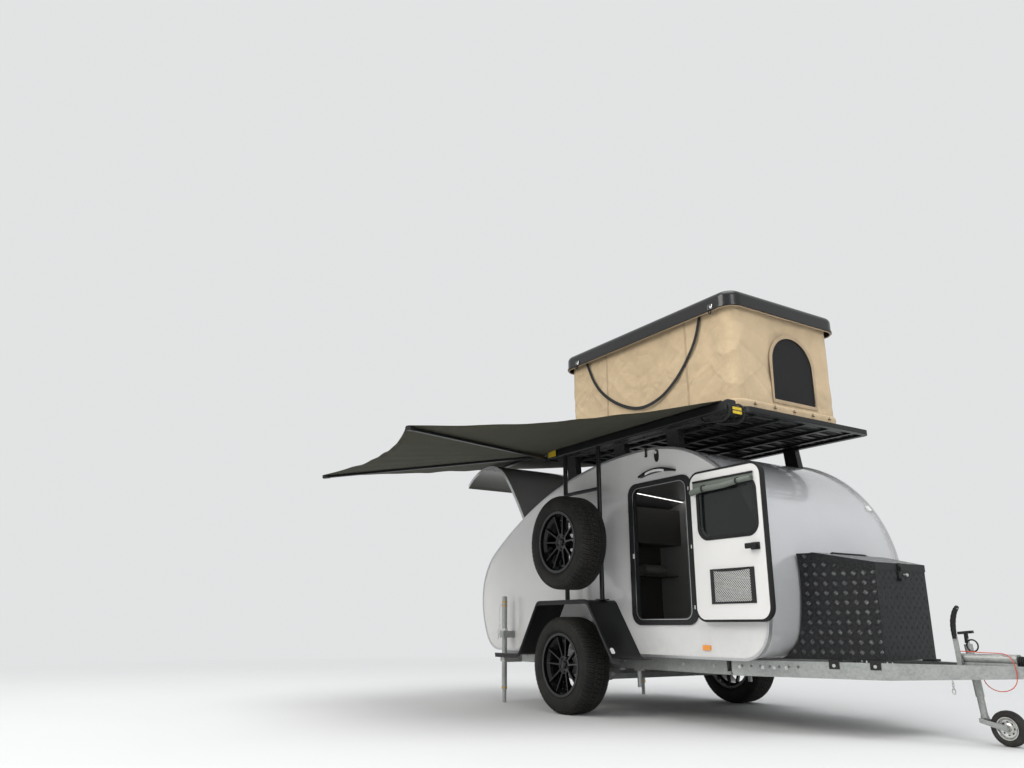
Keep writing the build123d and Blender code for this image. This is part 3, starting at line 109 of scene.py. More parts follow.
def newNode(tree, kind, inputs=None, **settings):
    node = tree.nodes.new(kind)
    for name, value in settings.items():
        setattr(node, name, value)
    setInputs(tree, node, inputs or {})
    return node


def mathNode(tree, operation, first, second=0.0):
    return newNode(tree, "ShaderNodeMath", {0: first, 1: second}, operation=operation).outputs[0]


def product(tree, first, *others):
    for other in others:
        first = mathNode(tree, "MULTIPLY", first, other)
    return first


def axisOf(tree, vector, axis):
    return newNode(tree, "ShaderNodeSeparateXYZ", {"Vector": vector}).outputs[axis]


def stretched(tree, value, low, high, toLow=0.0, toHigh=1.0):
    inputs = {"Value": value, "From Min": low, "From Max": high, "To Min": toLow, "To Max": toHigh}
    return newNode(tree, "ShaderNodeMapRange", inputs).outputs["Result"]


# The mix node's colour sockets come after those for numbers and vectors
def mixedColour(tree, factor, first, second, blend="MIX"):
    inputs = {0: factor, 6: first, 7: second}
    return newNode(tree, "ShaderNodeMix", inputs, data_type="RGBA", blend_type=blend).outputs[2]


def noiseOf(tree, place, scale, detail=3.0, roughness=0.55, distortion=0.0):
    inputs = dict(Vector=place, Scale=scale, Detail=detail, Roughness=roughness, Distortion=distortion)
    return newNode(tree, "ShaderNodeTexNoise", inputs).outputs["Fac"]


def bumped(tree, height, distance, strength=1.0, normal=None):
    inputs = {"Height": height, "Distance": distance, "Strength": strength}
    if normal is not None:
        inputs["Normal"] = normal
    return newNode(tree, "ShaderNodeBump", inputs).outputs["Normal"]


# A base colour that goes from darker to paler as the factor rises
def varied(tree, factor, base, darker, paler):
    ends = [tuple(min(1.0, channel * scale) for channel in base) for scale in (darker, paler)]
    return mixedColour(tree, factor, *ends)


materials = {}


# A new material: its tree, its shader, and the place on the piece
def startMaterial(name):
    material = materials[name] = bpy.data.materials.new(name)
    material.use_nodes = True
    tree = material.node_tree
    return tree, tree.nodes["Principled BSDF"], newNode(tree, "ShaderNodeTexCoord").outputs["Object"]


# One recipe for most hard surfaces: a base colour that varies slowly, a fine grain in the
# roughness and the bump, paler worn edges, and dust that gathers low down. Under gives another
# colour to what faces down, as painted shade, and behind one to what lies behind a station.
hardDefaults = dict(
    vary=0.06, varyScale=2.5, grainScale=220.0, coat=0.0, coatRough=0.05, metallic=0.0, specular=0.5,
    wave=0.0, waveScale=3.0, dust=0.0, dustTop=0.1, wear=0.0, wearColour=(0.35, 0.35, 0.34),
    under=None, behind=None, glow=0.0,
)
dustValues = dict(low=-0.45, colour=(0.30, 0.27, 0.22))
roughSpread = 0.06


def hardSurface(name, values):
    values = hardDefaults | values
    tree, shader, place = startMaterial(name)
    slow = stretched(tree, noiseOf(tree, place, values["varyScale"]), 0.3, 0.7)
    colour = varied(tree, slow, values["base"], 1 - values["vary"], 1 + values["vary"])
    # What faces down takes the under colour: painted shade
    if values["under"]:
        facing = newNode(tree, "ShaderNodeTexCoord").outputs["Normal"]
        upward = stretched(tree, axisOf(tree, facing, "Z"), -0.10, -0.04)
        colour = mixedColour(tree, upward, values["under"], colour)
    if values["behind"]:
        ahead = stretched(tree, axisOf(tree, place, "X"), values["behind"], values["behind"] + 0.01)
        colour = mixedColour(tree, ahead, values["behindColour"], colour)
    if values["wear"]:
        pointed = newNode(tree, "ShaderNodeNewGeometry").outputs["Pointiness"]
        broken = stretched(tree, noiseOf(tree, place, 90.0, 5.0), 0.4, 0.6, 0.1, 1.0)
        edge = product(tree, stretched(tree, pointed, 0.53, 0.60), broken, values["wear"])
        colour = mixedColour(tree, edge, colour, values["wearColour"])
    if values["dust"]:
        low = stretched(tree, axisOf(tree, place, "Z"), dustValues["low"], values["dustTop"], 1.0, 0.0)
        patchy = stretched(tree, noiseOf(tree, place, 14.0, 6.0, 0.65), 0.35, 0.75, 0.15, 1.0)
        colour = mixedColour(tree, product(tree, low, patchy, values["dust"]), colour, dustValues["colour"])
    grain = noiseOf(tree, place, values["grainScale"], 4.0)
    normal = bumped(tree, grain, values["bump"])
    if values["wave"]:
        broad = noiseOf(tree, place, values["waveScale"], 1.0)
        normal = bumped(tree, broad, values["wave"], 1.0, normal)
    smoothest, roughest = max(0.02, values["rough"] - roughSpread), min(1.0, values["rough"] + roughSpread)
    setInputs(tree, shader, {
        "Base Color": colour,
        "Roughness": stretched(tree, grain, 0.3, 0.7, smoothest, roughest),
        "Normal": normal,
        "Metallic": values["metallic"],
        "Coat Weight": values["coat"],
        "Coat Roughness": values["coatRough"],
        "Specular IOR Level": values["specular"],
    })
    if values["glow"]:
        setInputs(tree, shader, {"Emission Color": values["base"], "Emission Strength": values["glow"]})


surfaces = {
    "gelcoat": dict(base=(0.71, 0.705, 0.695), rough=0.20, coat=0.7, vary=0.02, bump=0.00006, grainScale=340.0,
                    wave=0.0012, waveScale=1.6, dust=0.45, dustTop=0.32),
    "silverSkin": dict(base=(0.52, 0.525, 0.535), rough=0.22, coat=0.6, vary=0.03, metallic=0.25, bump=0.00006,
                       wave=0.0012, waveScale=1.4, dust=0.4, dustTop=0.3),
    "doorSkin": dict(base=(0.74, 0.73, 0.715), rough=0.32, coat=0.25, vary=0.015, bump=0.00008,
                     grainScale=420.0),
    "edgeMetal": dict(base=(0.56, 0.565, 0.57), rough=0.34, metallic=0.9, bump=0.00006, wear=0.2),
    "blackMetal": dict(base=(0.0065, 0.0068, 0.0075), rough=0.4, vary=0.2, bump=0.00012, specular=0.28,
                       grainScale=520.0, wear=0.25, wearColour=(0.06, 0.06, 0.06), dust=0.12),
    # The tailgate's underside: a dark olive painted shade with a painted green reflection of the ground
    "gateSkin": dict(base=(0.50, 0.505, 0.515), rough=0.24, coat=0.4, vary=0.03, metallic=0.25, bump=0.00005,
                     under=(0.036, 0.037, 0.024)),
    "chequer": dict(base=(0.0045, 0.005, 0.006), rough=0.36, vary=0.15, bump=0.0001, grainScale=480.0,
                    wear=0.3, wearColour=(0.05, 0.05, 0.052), specular=0.25, dust=0.08),
    "rimBlack": dict(base=(0.003, 0.003, 0.0035), rough=0.14, coat=0.3, vary=0.1, bump=0.00004, specular=0.2,
                     wear=0.05),
    "plasticBlack": dict(base=(0.008, 0.008, 0.0085), rough=0.45, vary=0.12, bump=0.00018, grainScale=650.0,
                         specular=0.3),
    "lidShell": dict(base=(0.0055, 0.0055, 0.006), rough=0.3, vary=0.12, bump=0.00025, grainScale=260.0,
                     coat=0.35, coatRough=0.1, specular=0.3),
    "rubber": dict(base=(0.009, 0.009, 0.009), rough=0.62, vary=0.2, bump=0.0003, grainScale=300.0, dust=0.12,
                   specular=0.3),
    "board": dict(base=(0.15, 0.142, 0.13), rough=0.45, vary=0.05, bump=0.0001, grainScale=120.0),
    "cableSheath": dict(base=(0.55, 0.06, 0.02), rough=0.4, vary=0.08, bump=0.00008),
    "lampAmber": dict(base=(0.85, 0.30, 0.02), rough=0.16, coat=0.8, vary=0.05, bump=0.00003),
    "lampBody": dict(base=(0.85, 0.30, 0.02), rough=0.2, coat=0.6, vary=0.05, bump=0.00003, behind=-4.0,
                     behindColour=(0.50, 0.50, 0.48)),
    "lampRed": dict(base=(0.45, 0.02, 0.015), rough=0.15, coat=0.8, vary=0.05, bump=0.00003),
    "lampClear": dict(base=(0.80, 0.80, 0.78), rough=0.12, coat=0.9, vary=0.02, bump=0.00003),
    "plateYellow": dict(base=(0.62, 0.44, 0.02), rough=0.4, vary=0.08, bump=0.00005),
    "chrome": dict(base=(0.75, 0.75, 0.76), rough=0.1, metallic=1.0, vary=0.03, bump=0.00003),
    # Bright metal for the chequer bars that lean one way: a painted glint
    "chequerBar": dict(base=(0.30, 0.305, 0.31), rough=0.25, metallic=0.8, vary=0.45, varyScale=40.0,
                       bump=0.00005),
    "zincPale": dict(base=(0.60, 0.60, 0.58), rough=0.3, metallic=0.85, vary=0.12, varyScale=30.0,
                     bump=0.00008),
    "brass": dict(base=(0.55, 0.36, 0.10), rough=0.3, metallic=0.8, vary=0.12, varyScale=30.0, bump=0.00006),
    "toggleBrown": dict(base=(0.10, 0.045, 0.02), rough=0.35, coat=0.3, vary=0.2, varyScale=60.0,
                        bump=0.00008),
    "cabinGlow": dict(base=(0.85, 0.84, 0.80), rough=0.4, vary=0.02, bump=0.00004, glow=2.2),
}
for name, values in surfaces.items():
    hardSurface(name, values)

# Zinc: overlapping crystals with their own tone and gloss, and on the sleeve a black top
zincValues = dict(
    dark=(0.24, 0.255, 0.245), pale=(0.47, 0.48, 0.465), stain=(0.22, 0.205, 0.17), metallic=0.75,
    plastic=(0.008, 0.008, 0.0085), sleeveTop=0.180,
)


def zincSurface(name, values, blackAbove=None):
    tree, shader, place = startMaterial(name)
    cells = newNode(tree, "ShaderNodeTexVoronoi", {"Vector": place, "Scale": 85.0})
    tone = newNode(tree, "ShaderNodeSeparateColor", {"Color": cells.outputs["Color"]}).outputs["Red"]
    cloud = noiseOf(tree, place, 7.0, 5.0, 0.6)
    mixed = mathNode(tree, "ADD", product(tree, tone, 0.4), product(tree, cloud, 0.6))
    colour = mixedColour(tree, mixed, values["dark"], values["pale"])
    stain = stretched(tree, noiseOf(tree, place, 22.0, 6.0, 0.7), 0.62, 0.8, 0.0, 0.5)
    colour = mixedColour(tree, stain, colour, values["stain"])
    metallic = values["metallic"]
    if blackAbove is not None:
        upper = stretched(tree, axisOf(tree, place, "Z"), blackAbove, blackAbove + 0.002)
        colour = mixedColour(tree, upper, colour, values["plastic"])
        metallic = stretched(tree, upper, 0.0, 1.0, metallic, 0.0)
    setInputs(tree, shader, {
        "Base Color": colour,
        "Metallic": metallic,
        "Roughness": stretched(tree, tone, 0.0, 1.0, 0.38, 0.6),
        "Normal": bumped(tree, cloud, 0.0006),
    })


zincSurface("zinc", zincValues)
zincSurface("sleeveZinc", zincValues, zincValues["sleeveTop"])


# Woven cloth: crossed threads, a slower mottling, and creases that come and go
def wovenCloth(name, base, threads, crease, creaseScale=4.0, sheen=0.15):
    tree, shader, place = startMaterial(name)
    x, y, z = [mathNode(tree, "SINE", product(tree, axisOf(tree, place, axis), threads)) for axis in "XYZ"]
    weave = mathNode(tree, "ADD", product(tree, x, y), product(tree, z, x))
    weave = mathNode(tree, "ADD", weave, product(tree, y, z))
    mottle = stretched(tree, noiseOf(tree, place, 5.0, 5.0, 0.6), 0.3, 0.7)
    shade = stretched(tree, weave, -1.5, 1.5, 0.88, 1.06)
    shade = newNode(tree, "ShaderNodeCombineColor", {"Red": shade, "Green": shade, "Blue": shade}).outputs[0]
    slub = noiseOf(tree, place, 160.0, 4.0)
    normal = bumped(tree, weave, 0.0003, 0.6)
    normal = bumped(tree, slub, 0.0004, 0.6, normal)
    folds = noiseOf(tree, place, creaseScale, 2.0, 0.5, 1.4)
    setInputs(tree, shader, {
        "Base Color": mixedColour(tree, 1.0, varied(tree, mottle, base, 0.9, 1.08), shade, "MULTIPLY"),
        "Roughness": stretched(tree, slub, 0.3, 0.7, 0.78, 0.95),
        "Normal": bumped(tree, folds, crease, 0.7, normal),
        "Sheen Weight": sheen,
        "Specular IOR Level": 0.25,
    })


cloths = {
    "tentCloth": dict(base=(0.62, 0.475, 0.30), threads=1900.0, crease=0.02, creaseScale=4.2),
    "tentSeam": dict(base=(0.50, 0.375, 0.24), threads=2400.0, crease=0.002, creaseScale=12.0),
    "awningCloth": dict(base=(0.034, 0.033, 0.016), threads=1700.0, crease=0.008, creaseScale=2.2, sheen=0.05),
    "webbing": dict(base=(0.016, 0.016, 0.016), threads=3200.0, crease=0.001, creaseScale=30.0),
    "blindCloth": dict(base=(0.16, 0.18, 0.155), threads=2600.0, crease=0.004, creaseScale=9.0),
    "bedCloth": dict(base=(0.52, 0.53, 0.49), threads=1500.0, crease=0.01, creaseScale=5.0),
}
for name, values in cloths.items():
    wovenCloth(name, **values)


# Tyre rubber: brown-grey dust on the shoulders and in the tread, darker sidewall
def tyreSurface(name, dark, dusted):
    tree, shader, place = startMaterial(name)
    slow = noiseOf(tree, place, 9.0, 6.0, 0.65)
    fine = noiseOf(tree, place, 240.0, 4.0)
    setInputs(tree, shader, {
        "Base Color": mixedColour(tree, stretched(tree, slow, 0.4, 0.7, 0.0, 0.55), dark, dusted),
        "Roughness": stretched(tree, fine, 0.3, 0.7, 0.62, 0.85),
        "Normal": bumped(tree, fine, 0.0004),
        "Specular IOR Level": 0.25,
    })


# Dark tinted pane
def paneSurface(name, colour, seeThrough):
    tree, shader, place = startMaterial(name)
    smear = noiseOf(tree, place, 12.0, 5.0, 0.6)
    setInputs(tree, shader, {
        "Base Color": varied(tree, smear, colour, 0.85, 1.15),
        "Roughness": stretched(tree, smear, 0.3, 0.75, 0.03, 0.10),
        "Alpha": stretched(tree, smear, 0.3, 0.7, seeThrough - 0.02, seeThrough + 0.02),
        "Coat Weight": 0.15,
        "Specular IOR Level": 0.3,
    })


# Net: two sets of slanting threads, with the gaps between them cut out
def netSurface(name, colour, pitch, cover):
    tree, shader, place = startMaterial(name)
    across = mathNode(tree, "ADD", axisOf(tree, place, "X"), axisOf(tree, place, "Y"))
    lines = []
    for sign in (1.0, -1.0):
        along = mathNode(tree, "ADD", across, product(tree, axisOf(tree, place, "Z"), sign))
        wave = mathNode(tree, "COSINE", product(tree, along, math.tau / pitch))
        lines.append(stretched(tree, wave, cover - 0.08, cover + 0.08))
    slow = noiseOf(tree, place, 25.0)
    setInputs(tree, shader, {
        "Base Color": varied(tree, slow, colour, 0.8, 1.15),
        "Roughness": stretched(tree, slow, 0.3, 0.7, 0.7, 0.9),
        "Alpha": mathNode(tree, "MAXIMUM", *lines),
    })


tyreSurface("tyreRubber", (0.011, 0.011, 0.0105), (0.030, 0.028, 0.022))
tyreSurface("treadRubber", (0.016, 0.016, 0.015), (0.042, 0.039, 0.031))
# Darker rubber for the bottoms of the tread's grooves: painted shade in the recesses
tyreSurface("grooveRubber", (0.003, 0.003, 0.003), (0.008, 0.0075, 0.006))
paneSurface("windowPane", (0.012, 0.014, 0.014), 0.86)
netSurface("blackNet", (0.012, 0.012, 0.013), 0.0026, 0.1)
netSurface("pocketNet", (0.62, 0.62, 0.60), 0.017, 0.62)
print("materials made,", len(materials))


# Stage: a pale floor that runs into the background, and soft lights

backdrop = (0.76, 0.77, 0.775)
floorValues = dict(
    radius=70, segments=96, place=(1.0, 0, -0.0005), dark=(0.61, 0.61, 0.605), pale=(0.645, 0.645, 0.64),
    fade=(5.0, 14.0),
)
skyValues = dict(low=(0.34, 0.345, 0.345), high=(0.90, 0.925, 0.95))
warmLight, coolLight = (1.0, 0.97, 0.92), (0.98, 0.99, 1.0)
lamps = {
    "keyLamp": dict(place=(-6.1, -16.5, 11.1), aim=(-2.6, 0, 1), size=10.0, power=1380.0, colour=warmLight),
    "topLamp": dict(place=(-0.2, -2.0, 14.0), aim=(-2.8, 0, 1), size=12.0, power=1150.0, colour=coolLight),
    "frontLamp": dict(place=(10.5, -5.0, 5.2), aim=(-1.5, 0, 0.8), size=7.0, power=480.0, colour=coolLight),
}


# One for the rays that show the background: straight to the camera, mirrored, or through glass
def seenRay(tree):
    path = newNode(tree, "ShaderNodeLightPath")
    seen = mathNode(tree, "MAXIMUM", path.outputs["Is Camera Ray"], path.outputs["Is Glossy Ray"])
    return mathNode(tree, "MAXIMUM", seen, path.outputs["Is Transmission Ray"])


def floorSurface(values):
    tree, shader, place = startMaterial("paleFloor")
    colour = mixedColour(tree, noiseOf(tree, place, 0.6), values["dark"], values["pale"])
    setInputs(tree, shader, {"Base Color": colour, "Roughness": 0.9, "Specular IOR Level": 0.1})
    glow = newNode(tree, "ShaderNodeEmission", {"Color": backdrop, "Strength": 1.0}).outputs["Emission"]
    distance = newNode(tree, "ShaderNodeVectorMath", {"Vector": place}, operation="LENGTH").outputs["Value"]
    far = product(tree, stretched(tree, distance, *values["fade"]), seenRay(tree))
    blended = newNode(tree, "ShaderNodeMixShader", {"Fac": far, 1: shader.outputs["BSDF"], 2: glow})
    setInputs(tree, tree.nodes["Material Output"], {"Surface": blended.outputs["Shader"]})
    return materials["paleFloor"]


def makeFloor(values):
    mesh = bmesh.new()
    bmesh.ops.create_circle(mesh, cap_ends=True, radius=values["radius"], segments=values["segments"])
    data = bpy.data.meshes.new("studioFloor")
    mesh.to_mesh(data)
    mesh.free()
    floor = bpy.data.objects.new("studioFloor", data)
    floor.location = spot(*values["place"])
    data.materials.append(floorSurface(values))
    bpy.context.scene.collection.objects.link(floor)


def makeWorld(values):
    world = bpy.data.worlds.new("studio")
    world.use_nodes = True
    tree = world.node_tree
    direction = newNode(tree, "ShaderNodeTexCoord").outputs["Generated"]
    climb = stretched(tree, axisOf(tree, direction, "Z"), -0.05, 0.75)
    lit = mixedColour(tree, climb, values["low"], values["high"])
    setInputs(tree, tree.nodes["Background"], {"Color": mixedColour(tree, seenRay(tree), lit, backdrop)})
    bpy.context.scene.world = world


def makeLamp(name, values):
    data = bpy.data.lights.new(name, "AREA")
    data.shape = "DISK"
    data.size = values["size"]
    data.energy = values["power"]
    data.color = values["colour"]
    lamp = bpy.data.objects.new(name, data)
    away = Vector(values["place"]) - Vector(values["aim"])
    lamp.rotation_euler = away.to_track_quat("Z", "Y").to_euler()
    lamp.location = values["place"]
    bpy.context.scene.collection.objects.link(lamp)


makeFloor(floorValues)
makeWorld(skyValues)
for name, values in lamps.items():
    makeLamp(name, values)
print("stage set")


# Mesh helpers. Each piece is one bmesh in the trailer's frame, joined from formed parts.

# Looks are one name or several, in the order of the parts' material numbers
def finishPiece(name, mesh, looks, slot, body="trailer", replacing=(), sharp=35.0):
    bmesh.ops.recalc_face_normals(mesh, faces=mesh.faces)
    data = bpy.data.meshes.new(name)
    mesh.to_mesh(data)
    mesh.free()
    data.shade_smooth()
    data.set_sharp_from_angle(angle=math.radians(sharp))
    for look in looks.split():
        data.materials.append(materials[look])
    piece = bpy.data.objects.new(name, data)
    bpy.context.scene.collection.objects.link(piece)
    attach(piece, body)
    if replacing:
        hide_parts(*replacing)
    return piece


def addThickness(piece, thick):
    solid = piece.modifiers.new("thickness", "SOLIDIFY")
    solid.thickness = thick
    solid.offset = 0
    solid.use_even_offset = False


def placed(centre, size=(1, 1, 1), turn=None):
    turned = Matrix.Translation(centre) @ (turn.to_4x4() if turn is not None else Matrix())
    return turned @ Matrix.Diagonal((*size, 1))


def addBlock(mesh, centre, size, turn=None, bevel=0.0, segments=2, material=0):
    made = bmesh.ops.create_cube(mesh, size=1, matrix=placed(centre, size, turn))["verts"]
    edges = list({edge for vert in made for edge in vert.link_edges})
    faces = {face for vert in made for face in vert.link_faces}
    if bevel:
        result = bmesh.ops.bevel(
            mesh, geom=edges, offset=bevel, affect="EDGES", segments=segments, profile=0.5, material=-1
        )
        faces = {face for face in faces if face.is_valid} | set(result["faces"])
    for face in faces:
        face.material_index = material


def addRod(mesh, start, end, radius, endRadius=None, sides=20, material=0):
    start, end = Vector(start), Vector(end)
    run = end - start
    made = bmesh.ops.create_cone(
        mesh,
        cap_ends=True,
        segments=sides,
        radius1=radius,
        radius2=radius if endRadius is None else endRadius,
        depth=run.length,
        matrix=placed((start + end) / 2, turn=run.to_track_quat("Z", "Y").to_matrix()),
    )["verts"]
    for face in {face for vert in made for face in vert.link_faces}:
        face.material_index = material


# A ring of revolution: profile points are (radius, distance along the axis)
def addLathe(mesh, profile, centre, axis, steps=64, material=0):
    axis = Vector(axis).normalized()
    side = axis.orthogonal().normalized()
    verts = [mesh.verts.new(Vector(centre) + side * radius + axis * along) for radius, along in profile]
    edges = [mesh.edges.new(pair) for pair in zip(verts, verts[1:] + verts[:1])]
    before = set(mesh.faces)
    bmesh.ops.spin(
        mesh, geom=verts + edges, cent=centre, axis=axis, angle=math.tau, steps=steps, use_merge=True,
        use_duplicate=False,
    )
    for face in set(mesh.faces) - before:
        face.material_index = material


# A profile and its mirror image across the plane of the ring
def bothSides(profile):
    return profile + [(radius, -along) for radius, along in reversed(profile)]


# Quads over rows of places. Closed joins the ends of each row, and joined the last row to the first.
def addGrid(mesh, rows, closed=False, joined=False, material=0):
    grid = [[mesh.verts.new(place) for place in row] for row in rows]
    for lower, upper in zip(grid, grid[1:] + grid[:1] if joined else grid[1:]):
        for column in range(len(lower) - (not closed)):
            after = (column + 1) % len(lower)
            face = mesh.faces.new((lower[column], lower[after], upper[after], upper[column]))
            face.material_index = material
    return grid


# A tube or strip swept along points: section points are (across, up)
def addSweep(mesh, path, section, up=zAxis, closed=False, material=0):
    path = [Vector(point) for point in path]
    rings = []
    count = len(path)
    lastAcross = None
    for index, point in enumerate(path):
        before = path[(index - 1) % count] if closed or index else point
        after = path[(index + 1) % count] if closed or index < count - 1 else point
        along = (after - before).normalized()
        across = along.cross(Vector(up))
        if across.length < 0.05:
            across = lastAcross or along.orthogonal()
        across.normalize()
        lastAcross = across
        rise = across.cross(along).normalized()
        rings.append([point + across * a + rise * b for a, b in section])
    grid = addGrid(mesh, rings, closed=True, joined=closed, material=material)
    if not closed:
        for ring in (grid[0], grid[-1]):
            mesh.faces.new(ring).material_index = material


def angles(count):
    return [math.tau * step / count for step in range(count)]


# Places round a centre, from the two radii of a circle or an ellipse
def loopOf(centre, first, second, count):
    return [centre + first * math.cos(angle) + second * math.sin(angle) for angle in angles(count)]


def roundSection(radius, sides=10):
    return [(radius * math.cos(angle), radius * math.sin(angle)) for angle in angles(sides)]


def boxSection(width, height):
    a, b = width / 2, height / 2
    return [(-a, -b), (a, -b), (a, b), (-a, b)]


# The outline of a rounded rectangle, starting at its lower right corner
def roundedRing(halfWide, halfHigh, radius, steps=8):
    points = []
    wide, high = halfWide - radius, halfHigh - radius
    for quarter, (sx, sy) in enumerate(((1, -1), (1, 1), (-1, 1), (-1, -1))):
        for step in range(steps + 1):
            angle = math.radians(-90 + 90 * quarter + 90 * step / steps)
            points.append((sx * wide + radius * math.cos(angle), sy * high + radius * math.sin(angle)))
    return points


# A plate from an outline in a plane, given as the plane's origin and its two directions
def addPlate(mesh, outline, origin, across, up, thick, material=0):
    origin, across, up = Vector(origin), Vector(across), Vector(up)
    out = across.cross(up).normalized()
    face = mesh.faces.new([mesh.verts.new(origin + across * a + up * b) for a, b in outline])
    face.material_index = material
    raised = bmesh.ops.extrude_face_region(mesh, geom=[face])["geom"]
    moved = [item for item in raised if isinstance(item, bmesh.types.BMVert)]
    bmesh.ops.translate(mesh, verts=moved, vec=out * thick)
    painted = [item for item in raised if isinstance(item, bmesh.types.BMFace)]
    for item in painted + [linked for edge in face.edges for linked in edge.link_faces]:
        item.material_index = material


# A smooth path through points, as a Catmull-Rom curve
def smoothPath(points, steps):
    points = [Vector(point) for point in points]
    ends = [points[0] * 2 - points[1]] + points + [points[-1] * 2 - points[-2]]
    path = []
    for before, first, second, after in zip(ends, ends[1:], ends[2:], ends[3:]):
        bend = before * 2 - first * 5 + second * 4 - after
        twist = first * 3 - before - second * 3 + after
        for t in (step / steps for step in range(steps)):
            path.append((first * 2 + (second - before) * t + bend * t * t + twist * t ** 3) / 2)
    path.append(points[-1])
    return path


# Finding a place on a CAD node: the point and the way out where a line first meets its surface

surfaceTrees = {}


def touch(node, start, direction, reach=3.0):
    if node not in surfaceTrees:
        data = nodes[node].data
        surfaceTrees[node] = BVHTree.FromPolygons(
            [vert.co for vert in data.vertices], [face.vertices for face in data.polygons]
        )
    return surfaceTrees[node].ray_cast(start, Vector(direction).normalized(), reach)[:2]


# Turns a part built along X, Y and Z on to a surface: its Z along out and its X nearly along across
def seated(out, across):
    out = Vector(out).normalized()
    across = (Vector(across) - out * out.dot(Vector(across))).normalized()
    return Matrix((across, out.cross(across), out)).transposed()


# A hexagon bolt on a washer, standing on a surface
def addBolt(mesh, place, out, size):
    out = Vector(out).normalized()
    addRod(mesh, place - out * 0.001, place + out * size * 0.22, size * 1.15)
    addRod(mesh, place, place + out * size * 0.85, size * 0.78, sides=6)
    addRod(mesh, place + out * size * 0.8, place + out * size * 1.1, size * 0.42, sides=12)


# A bolt where a line first meets a node, and none where it misses
def addBoltOn(mesh, node, start, direction, size):
    place, out = touch(node, start, direction)
    if place is not None:
        addBolt(mesh, place, out, size)


# Carried-over CAD nodes: smooth shading by angle and a finished material

nodeSharp = 28
nodeLooks = {
    "gelcoat": "side_panel_left side_panel_right",
    "silverSkin": "roof_skin tail_skirt",
    "doorSkin": "door_left door_right",
    "edgeMetal": "edge_trims",
    "blackMetal": "awning_arms awning_case door_frames mudguards rack_feet roof_rack spare_carrier"
                  " box_brackets",
    "gateSkin": "tailgate",
    "zinc": "axle_beam brake_lever crossmembers drawbar_legs hub_left hub_right jockey_fork jockey_leg"
            " overrun_housing side_members steady_clamps steady_left steady_right swing_arms",
    "sleeveZinc": "jockey_sleeve",
    "chequer": "tool_box tool_box_lid",
    "rimBlack": "rim_left rim_right spare_rim",
    "tyreRubber": "tyre_left tyre_right spare_tyre",
    "rubber": "bellows jockey_wheel",
    "plasticBlack": "side_fittings coupling_head tent_base",
    "lidShell": "tent_lid",
    "lampBody": "lamps",
    "windowPane": "door_window_left door_window_right",
    "board": "cabin_locker floor_panel galley",
    "bedCloth": "blankets mattress",
    "tentCloth": "tent_walls",
    "blackNet": "tent_window",
    "webbing": "tent_strap",
    "awningCloth": "awning_canvas",
    "cableSheath": "breakaway_cable",
}
for look, names in nodeLooks.items():
    for name in names.split():
        for materialSlot in nodes[name].material_slots:
            materialSlot.link = "OBJECT"
            materialSlot.material = materials[look]
        nodes[name].data.shade_smooth()
        nodes[name].data.set_sharp_from_angle(angle=math.radians(nodeSharp))
print("nodes dressed")


# Cable from the brake lever to the housing, on the same route as its tube

cableRoute = [
    (2.664, -0.0432, 0.521), (2.722, -0.030, 0.520), (2.790, -0.018, 0.515), (2.860, -0.013, 0.514),
    (2.915, -0.022, 0.513), (2.962, -0.044, 0.499), (2.988, -0.059, 0.455), (2.997, -0.062, 0.400),
    (2.984, -0.061, 0.346), (2.940, -0.059, 0.312), (2.876, -0.054, 0.303), (2.822, -0.044, 0.322),
    (2.788, -0.030, 0.352), (2.778, -0.024, 0.3856),
]
cableValues = dict(diameter=0.005, length=0.725, stiffness="medium")


def makeCable(route, values):
    curve = bpy.data.curves.new("breakawayCable", "CURVE")
    curve.dimensions = "3D"
    curve.bevel_depth = values["diameter"] / 2
    curve.bevel_resolution = 4
    curve.use_fill_caps = True
    spline = curve.splines.new("NURBS")
    spline.points.add(len(route) - 1)
    for point, place in zip(spline.points, route):
        point.co = (*spot(*place), 1.0)
    spline.order_u = 3
    spline.use_endpoint_u = True
    spline.resolution_u = 12
    curve.materials.append(materials["cableSheath"])
    cable = bpy.data.objects.new("breakawayCable", curve)
    bpy.context.scene.collection.objects.link(cable)
    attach(cable, "trailer")
    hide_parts("breakaway_cable")


makeCable(cableRoute, cableValues)
print("cable laid")

# Tyres: a ribbed casing with all-terrain blocks, laid out flat for one pitch and wrapped around it

tyreValues = dict(
    pitches=60, radius=0.3675, sunk=0.001, bevel=0.0011, thinFrom=0.088, thinTo=0.130, thinTop=0.35,
    narrow=0.80, row=0.011, grooveFrom=0.340, sidewallFrom=0.32,
)
# Outside of the casing from the middle of the tread to the bead, then its inside: (radius, along)
casingOutside = [
    (0.3600, 0.0), (0.3600, 0.064), (0.3592, 0.084), (0.3570, 0.096), (0.3530, 0.1055), (0.3450, 0.1130),
    (0.3300, 0.1182), (0.3150, 0.1222), (0.3138, 0.1238), (0.3085, 0.1248), (0.3075, 0.1240), (0.2920, 0.1262),
    (0.2800, 0.1252), (0.2790, 0.1236), (0.2700, 0.1226), (0.2685, 0.1242), (0.2600, 0.1212), (0.2560, 0.1165),
    (0.2445, 0.1050), (0.2290, 0.1042),
]
casingInside = [(0.2290, 0.0900), (0.2640, 0.1000), (0.2920, 0.1120), (0.3440, 0.0940)]

